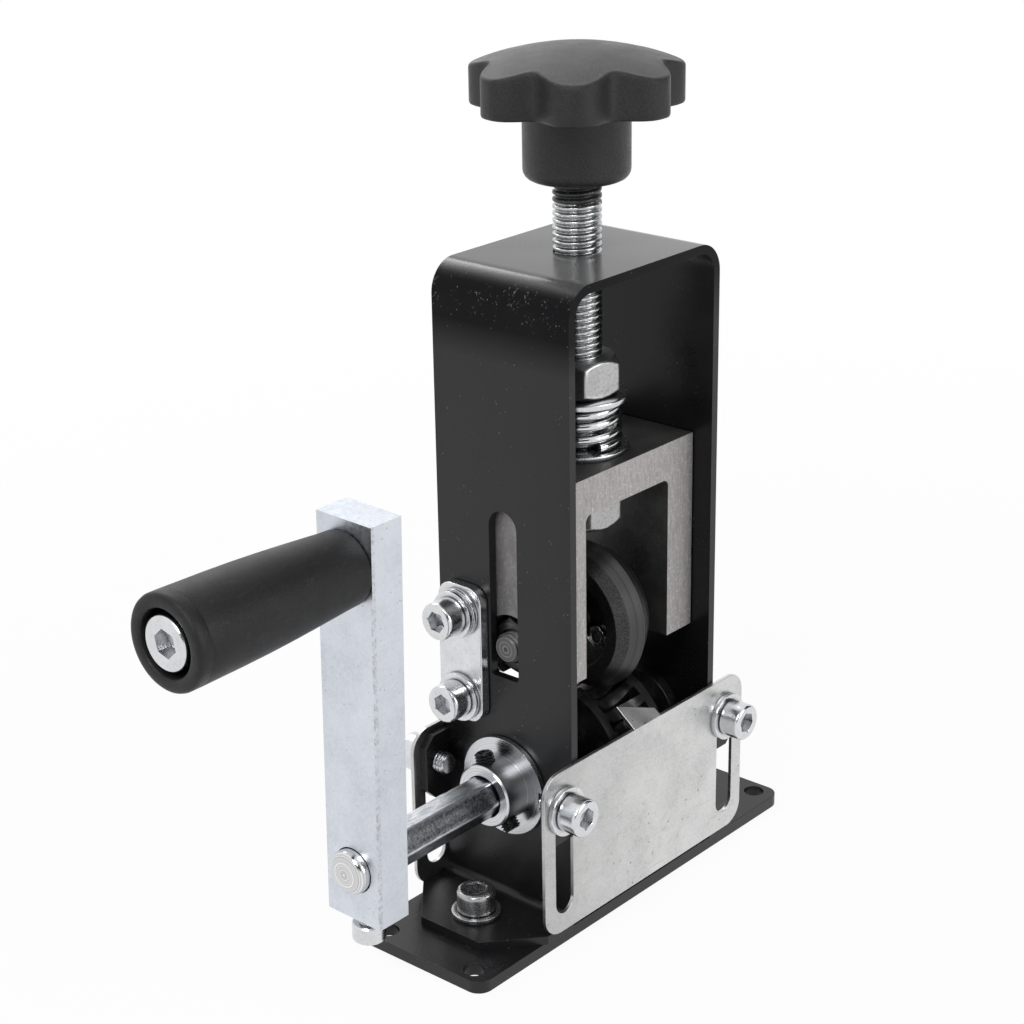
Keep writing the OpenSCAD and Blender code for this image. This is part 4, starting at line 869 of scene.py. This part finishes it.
def make_knob():
    """Lobed knob: domed top, rounded rim, flat underside and a hub with a rounded end."""
    lobes, first, outer, dip, narrowing = 7, -142, 26.7, 5.3, 1.35
    bottom, top = low("knob").z - 1, high("knob").z
    rim_z, edge_z, hole_end = bottom + 17.6, bottom + 27.2, bottom + 9
    hole, hub, hub_fillet, rim_fillet, under_fillet = 6.1, 13.3, 2.6, 1.3, 0.7
    dome = (outer ** 2 + (top - edge_z) ** 2) / 2 / (top - edge_z)
    cuts = 5

    def outline(angle):
        return outer - dip * (0.5 - 0.5 * cos(radians(lobes * (angle - first)))) ** narrowing

    def dome_edge(angle):
        return outline(angle) - rim_fillet

    def dome_z(radius):
        return top - dome + sqrt(dome ** 2 - radius ** 2)

    def under_point(inset, rise):
        return lambda angle: outline(angle) - inset, rim_z + rise

    def side_point(share):
        start = rim_z + under_fillet
        return outline, lambda angle: start + share * (dome_z(dome_edge(angle)) - rim_fillet - start)

    def rim_point(inset, drop):
        return lambda angle: outline(angle) - inset, lambda angle: dome_z(dome_edge(angle)) - drop

    def dome_point(share):
        return lambda angle: dome_edge(angle) * share, lambda angle: dome_z(dome_edge(angle) * share)

    quarter = [radians(90 * step / cuts) for step in range(cuts + 1)]
    profile = [(3, hole_end), (hole, hole_end), (hole, bottom)]
    profile += [(hub - hub_fillet * (1 - sin(angle)), bottom + hub_fillet * (1 - cos(angle)))
                for angle in quarter]
    profile += [(hub + 0.02, rim_z - 1.2), (hub + 0.35, rim_z - 0.35), (hub + 1.2, rim_z)]
    profile += [(lambda angle: max(hub + 1.6, outline(angle) * 0.9 - 0.4), rim_z)]
    profile += [under_point(under_fillet, 0), under_point(0.2, 0.2), under_point(0, under_fillet)]
    profile += [side_point(share) for share in (0.25, 0.5, 0.75)]
    profile += [rim_point(rim_fillet * (1 - cos(angle)), rim_fillet * (1 - sin(angle))) for angle in quarter]
    profile += [dome_point(share) for share in (0.93, 0.8, 0.65, 0.5, 0.35, 0.2, 0.08)]
    stand_for("knob", turned(profile, 336), smooth_angle=50)


def make_lead_screw():
    """Long thread, painted black just under the knob."""
    radius, pitch, depth = 6.1, 1.75, 0.85
    screw = thread(radius, low("lead_screw").z, high("lead_screw").z, pitch, depth,
                   steps=72, rows=12, tip=1.2, flat_share=0.36)
    stand_for("lead_screw", screw, screw_look(low("knob").z - 6.6), smooth_angle=60)


def make_spring():
    """Round wire wound as the frame's spring: close turns at both ends and an open one between."""
    bottom, top = low("spring").z, high("spring").z
    wire, radius, turns, close, pitch, start = 1.2, 10.05, 3.25, 1.0, 2.62, -110
    steps, sides = 96, 16
    corners = [radians(360 * side / sides) for side in range(sides)]
    spread = [share / 40 for share in range(-4, 5)]
    open_turns = turns - 2 * close
    open_pitch = (top - bottom - 2 * wire - 2 * close * pitch) / open_turns

    def height(turn):
        """Height of the wire's centre line over its start, after that many turns."""
        turn = min(turns, max(0, turn))
        close_turns = min(turn, close) + max(0, turn - close - open_turns)
        return close_turns * pitch + max(0, min(turn - close, open_turns)) * open_pitch

    rings = []
    for step in range(int(turns * steps) + 1):
        turn = step / steps
        angle = start + 360 * turn
        centre = bottom + wire + sum(height(turn + share) for share in spread) / len(spread)
        rings.append([on_circle(radius + wire * cos(corner), angle, centre + wire * sin(corner))
                      for corner in corners])
    spring = stand_for("spring", ring_stack(rings), SPRING, 50)
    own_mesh(spring)


def make_lead_nuts():
    """Clamp nut above the spring and retaining nut under the carriage."""
    width, bore, chamfer = 19, 5.6, 1.6
    for node, spin in (("clamp_nut", 48.8), ("retaining_nut", 57.9)):
        base = low(node).z
        nut = hex_nut(width, high(node).z - base, bore, chamfer)
        stand_for(node, placed(nut, (0, 0, base), spin=spin), NUT)


def make_spring_washers():
    """The two washers at the spring's ends."""
    radius, hole, edge = 12.8, 6.35, 0.3
    for node in ("upper_washer", "lower_washer"):
        base = low(node).z
        stand_for(node, placed(flat_washer(radius, hole, high(node).z - base, edge), (0, 0, base)))


def fixing(face, away, spin, length=8, washer_radius=6.5):
    """Cap screw and the washer under its head, seated at a point of a face that looks away."""
    washer = flat_washer(washer_radius, WASHER_HOLE, WASHER)
    seat = Vector(face) + Vector(away) * WASHER
    return placed(cap_screw(length), seat, away, spin), placed(washer, face, away)


def stand_fixings(name, fixings, look=None):
    """One piece for the screws of several fixings and one for their washers."""
    screws, washers = zip(*fixings)
    stand_for(name + "_screws", joined(*screws), look)
    stand_for(name + "_washers", joined(*washers), look)


def make_guide_fixings():
    """Two fixings on each guide plate."""
    screws = high("guide_screws")
    face_y = screws.y - HEAD_HEIGHT - WASHER
    fixings = []
    for facing in (-1, 1):
        for side in (-1, 1):
            face = (side * (screws.x - HEAD_RADIUS), facing * face_y, middle("guide_screws").z)
            fixings.append(fixing(face, (0, facing, 0), 17 if side == facing else 41))
    stand_fixings("guide", fixings)


def make_keeper_fixings():
    """Lower fixing and upper one with a second, smaller washer."""
    face_x, y = low("keeper_plate").x, middle("keeper_screws").y
    low_z, high_z = low("keeper_screws").z + HEAD_RADIUS, high("keeper_screws").z - HEAD_RADIUS
    gap, outward = 0.02, (-1, 0, 0)
    lower = fixing((face_x, y, low_z), outward, 8)
    under = fixing((face_x, y, high_z), outward, 0)[1]
    screw, washer = fixing((face_x - WASHER - gap, y, high_z), outward, 25, washer_radius=6.3)
    stand_fixings("keeper", [lower, (screw, joined(under, washer))])


def make_foot_fixings():
    """One fixing on each foot."""
    foot_x, face_z = high("foot_screws").x - HEAD_RADIUS, high("foot_washers").z - WASHER
    stand_fixings("foot", [fixing((side * foot_x, 0, face_z), (0, 0, 1), 20 - 15 * side, 6)
                           for side in (-1, 1)], FOOT)


def make_collars():
    """Turned collars with two set screws each."""
    for node in ("left_collar", "right_collar"):
        soften(node, 0.2, look=COLLAR)
    radius, length, tip_distance, spin = 2.5, 5.1, 5.9, 20
    screw_x = high("collar_set_screws").x - radius
    screws = []
    for side in (-1, 1):
        for angle in (76.6, -130):
            away = Vector((0, cos(radians(angle)), sin(radians(angle))))
            tip = Vector((side * screw_x, 0, SHAFT_Z)) + away * tip_distance
            screws.append(placed(set_screw(length, radius), tip, away, spin))
    stand_for("collar_set_screws", joined(*screws), SET_BLACK)


def grip_profile(length):
    """Radius and height pairs of the grip from its outer end: recess, rounded rim and narrowing side."""
    bore, recess, recess_depth = 4.1, 8.0, 8.3
    profile = [(bore, recess_depth), (recess, recess_depth), (recess, 0.6), (8.25, 0.18), (8.7, 0)]
    profile += [(10.2, 0), (10.9, 0.2), (11.3, 0.6), (11.5, 1.2), (11.5, 3.7)]
    profile += [(11.44, 3.8), (11.42, 3.88), (11.45, 3.96), (11.49, 4.1)]
    side = [(11.4, 0.15), (11.25, 0.3), (11.0, 0.45), (10.6, 0.6), (10.2, 0.72), (9.75, 0.84), (9.4, 0.93),
            (9.27, 0.985), (9.0, 1)]
    return profile + [(radius, length * share) for radius, share in side] + [(bore, length)]


def make_crank():
    """Arm, clamp screw, grip and the spindle through it."""
    soften("crank_arm", 0.35, 3)
    shaft = Vector((0, 0, SHAFT_Z))
    along_arm = Vector((0, -sin(ARM_LEAN), cos(ARM_LEAN)))
    clamp_distance, grip_distance, spindle_seat = 16.5, 79.9, 8
    seat = shaft - along_arm * clamp_distance
    seat.x = middle("crank_arm").x
    clamp = cap_screw(11.3, radius=2.5, head_radius=4.25, head_height=5.0, socket=4.0, depth=2.0, pitch=0.8)
    stand_for("crank_clamp_screw", placed(clamp, seat, -along_arm, 10))

    end = shaft + along_arm * grip_distance
    end.x = low("grip").x
    stand_for("grip", placed(turned(grip_profile(high("grip").x - end.x), 96), end, (1, 0, 0)))
    spindle = cap_screw(55.4, radius=4.0, head_radius=6.6, head_height=8.0, socket=6.0, depth=4.0,
                        pitch=1.25)
    stand_for("grip_spindle", placed(spindle, end + Vector((spindle_seat, 0, 0)), (-1, 0, 0), 14))


def make_shaft():
    """Hex bar with drawn corners, chamfered at the right and turned to a round nose at the left."""
    left, right, face = low("drive_shaft").x, high("drive_shaft").x, low("crank_arm").x
    length, root, core = right - left, right - face, 0.05
    across_flats, corner_radius = 10, 5.6
    bar = least(hexagon(across_flats), corner_radius)
    profile = [(core, 0), (4.7, 0), (least(bar, 5.0), 0.3), (bar, 0.9), (bar, root - 0.05)]
    nose = [(5.72, 0), (5.72, 0.35), (5.6, 0.55), (5.25, 0.72), (4.6, 0.86), (3.8, 0.95), (3.1, 1)]
    profile += [(radius, root + (length - root) * share) for radius, share in nose]
    profile += [(2.9, length - 0.05), (1.4, length), (core, length)]
    stand_for("drive_shaft", placed(turned(profile, 96), (right, 0, SHAFT_Z), (-1, 0, 0), 30), SHAFT, 25)


def make_axle():
    """Cutter axle with a thread at each end and plain between, and its two nuts."""
    half, radius, plain_radius = high("cutter_axle").x, 3.98, 3.95
    thread_length, pitch, overlap = 9, 1.25, 0.5
    plain_half = half - thread_length + overlap
    end = thread(radius, 0, thread_length, pitch, tip=0.8)
    ends = [placed(end, (-side * half, 0, CUTTER_Z), (side, 0, 0)) for side in (-1, 1)]
    plain = turned([(plain_radius, 0), (plain_radius, 2 * plain_half)], 48)
    stand_for("cutter_axle", joined(*ends, placed(plain, (-plain_half, 0, CUTTER_Z), (1, 0, 0))), AXLE)

    width, height, bore, chamfer, spin = 13, 5, 3.9, 0.5, 12
    nut, nut_x = hex_nut(width, height, bore, chamfer), high("axle_nuts").x - height
    nuts = [placed(nut, (side * nut_x, 0, CUTTER_Z), (side, 0, 0), spin) for side in (-1, 1)]
    stand_for("axle_nuts", joined(*nuts))


def make_cutter():
    """The cutter pack on the axle."""
    soften("cutter_sides", 0.12, look=CUTTER)
    soften("cutter_blade", 0.05, 1, look=CUTTER)
    soften("cutter_bush", 0.2)
    soften("axle_spacers", 0.2)
    soften("cutter_nuts", 0.08, 1, look=LOOKS["zinc"])
    soften("cutter_screws", 0.08, 1)


make_camera()
make_world()
make_floor()
make_card("card_behind", (-1150, -940, 860), 1500, 1100)
make_card("card_right", (1000, -850, 640), 1300, 1300)
soft_box("key", (-900, -300, 900), (0, 0, 100), (500, 500), 6.5)
soft_box("fill", (300, -1100, 500), (0, 0, 100), (600, 600), 5)
soft_box("back", (300, 900, 900), (0, 0, 120), (600, 400), 3.5)

soften("housing", 0.3, look=HOUSING)
soften("carriage", 0.7, 3)
for node, width in (("base_plate", 0.4), ("keeper_plate", 0.4), ("front_guide", 0.15),
                    ("rear_guide", 0.15), ("left_bush", 0.3), ("right_bush", 0.3),
                    ("feed_wheel", 0.2), ("wheel_set_screw", 0.1)):
    soften(node, width)
make_knob()
make_lead_screw()
make_spring()
make_lead_nuts()
make_spring_washers()
make_guide_fixings()
make_keeper_fixings()
make_foot_fixings()
make_collars()
make_crank()
make_shaft()
make_axle()
make_cutter()

bpy.context.view_layer.update()
scene.view_settings.view_transform = "Standard"
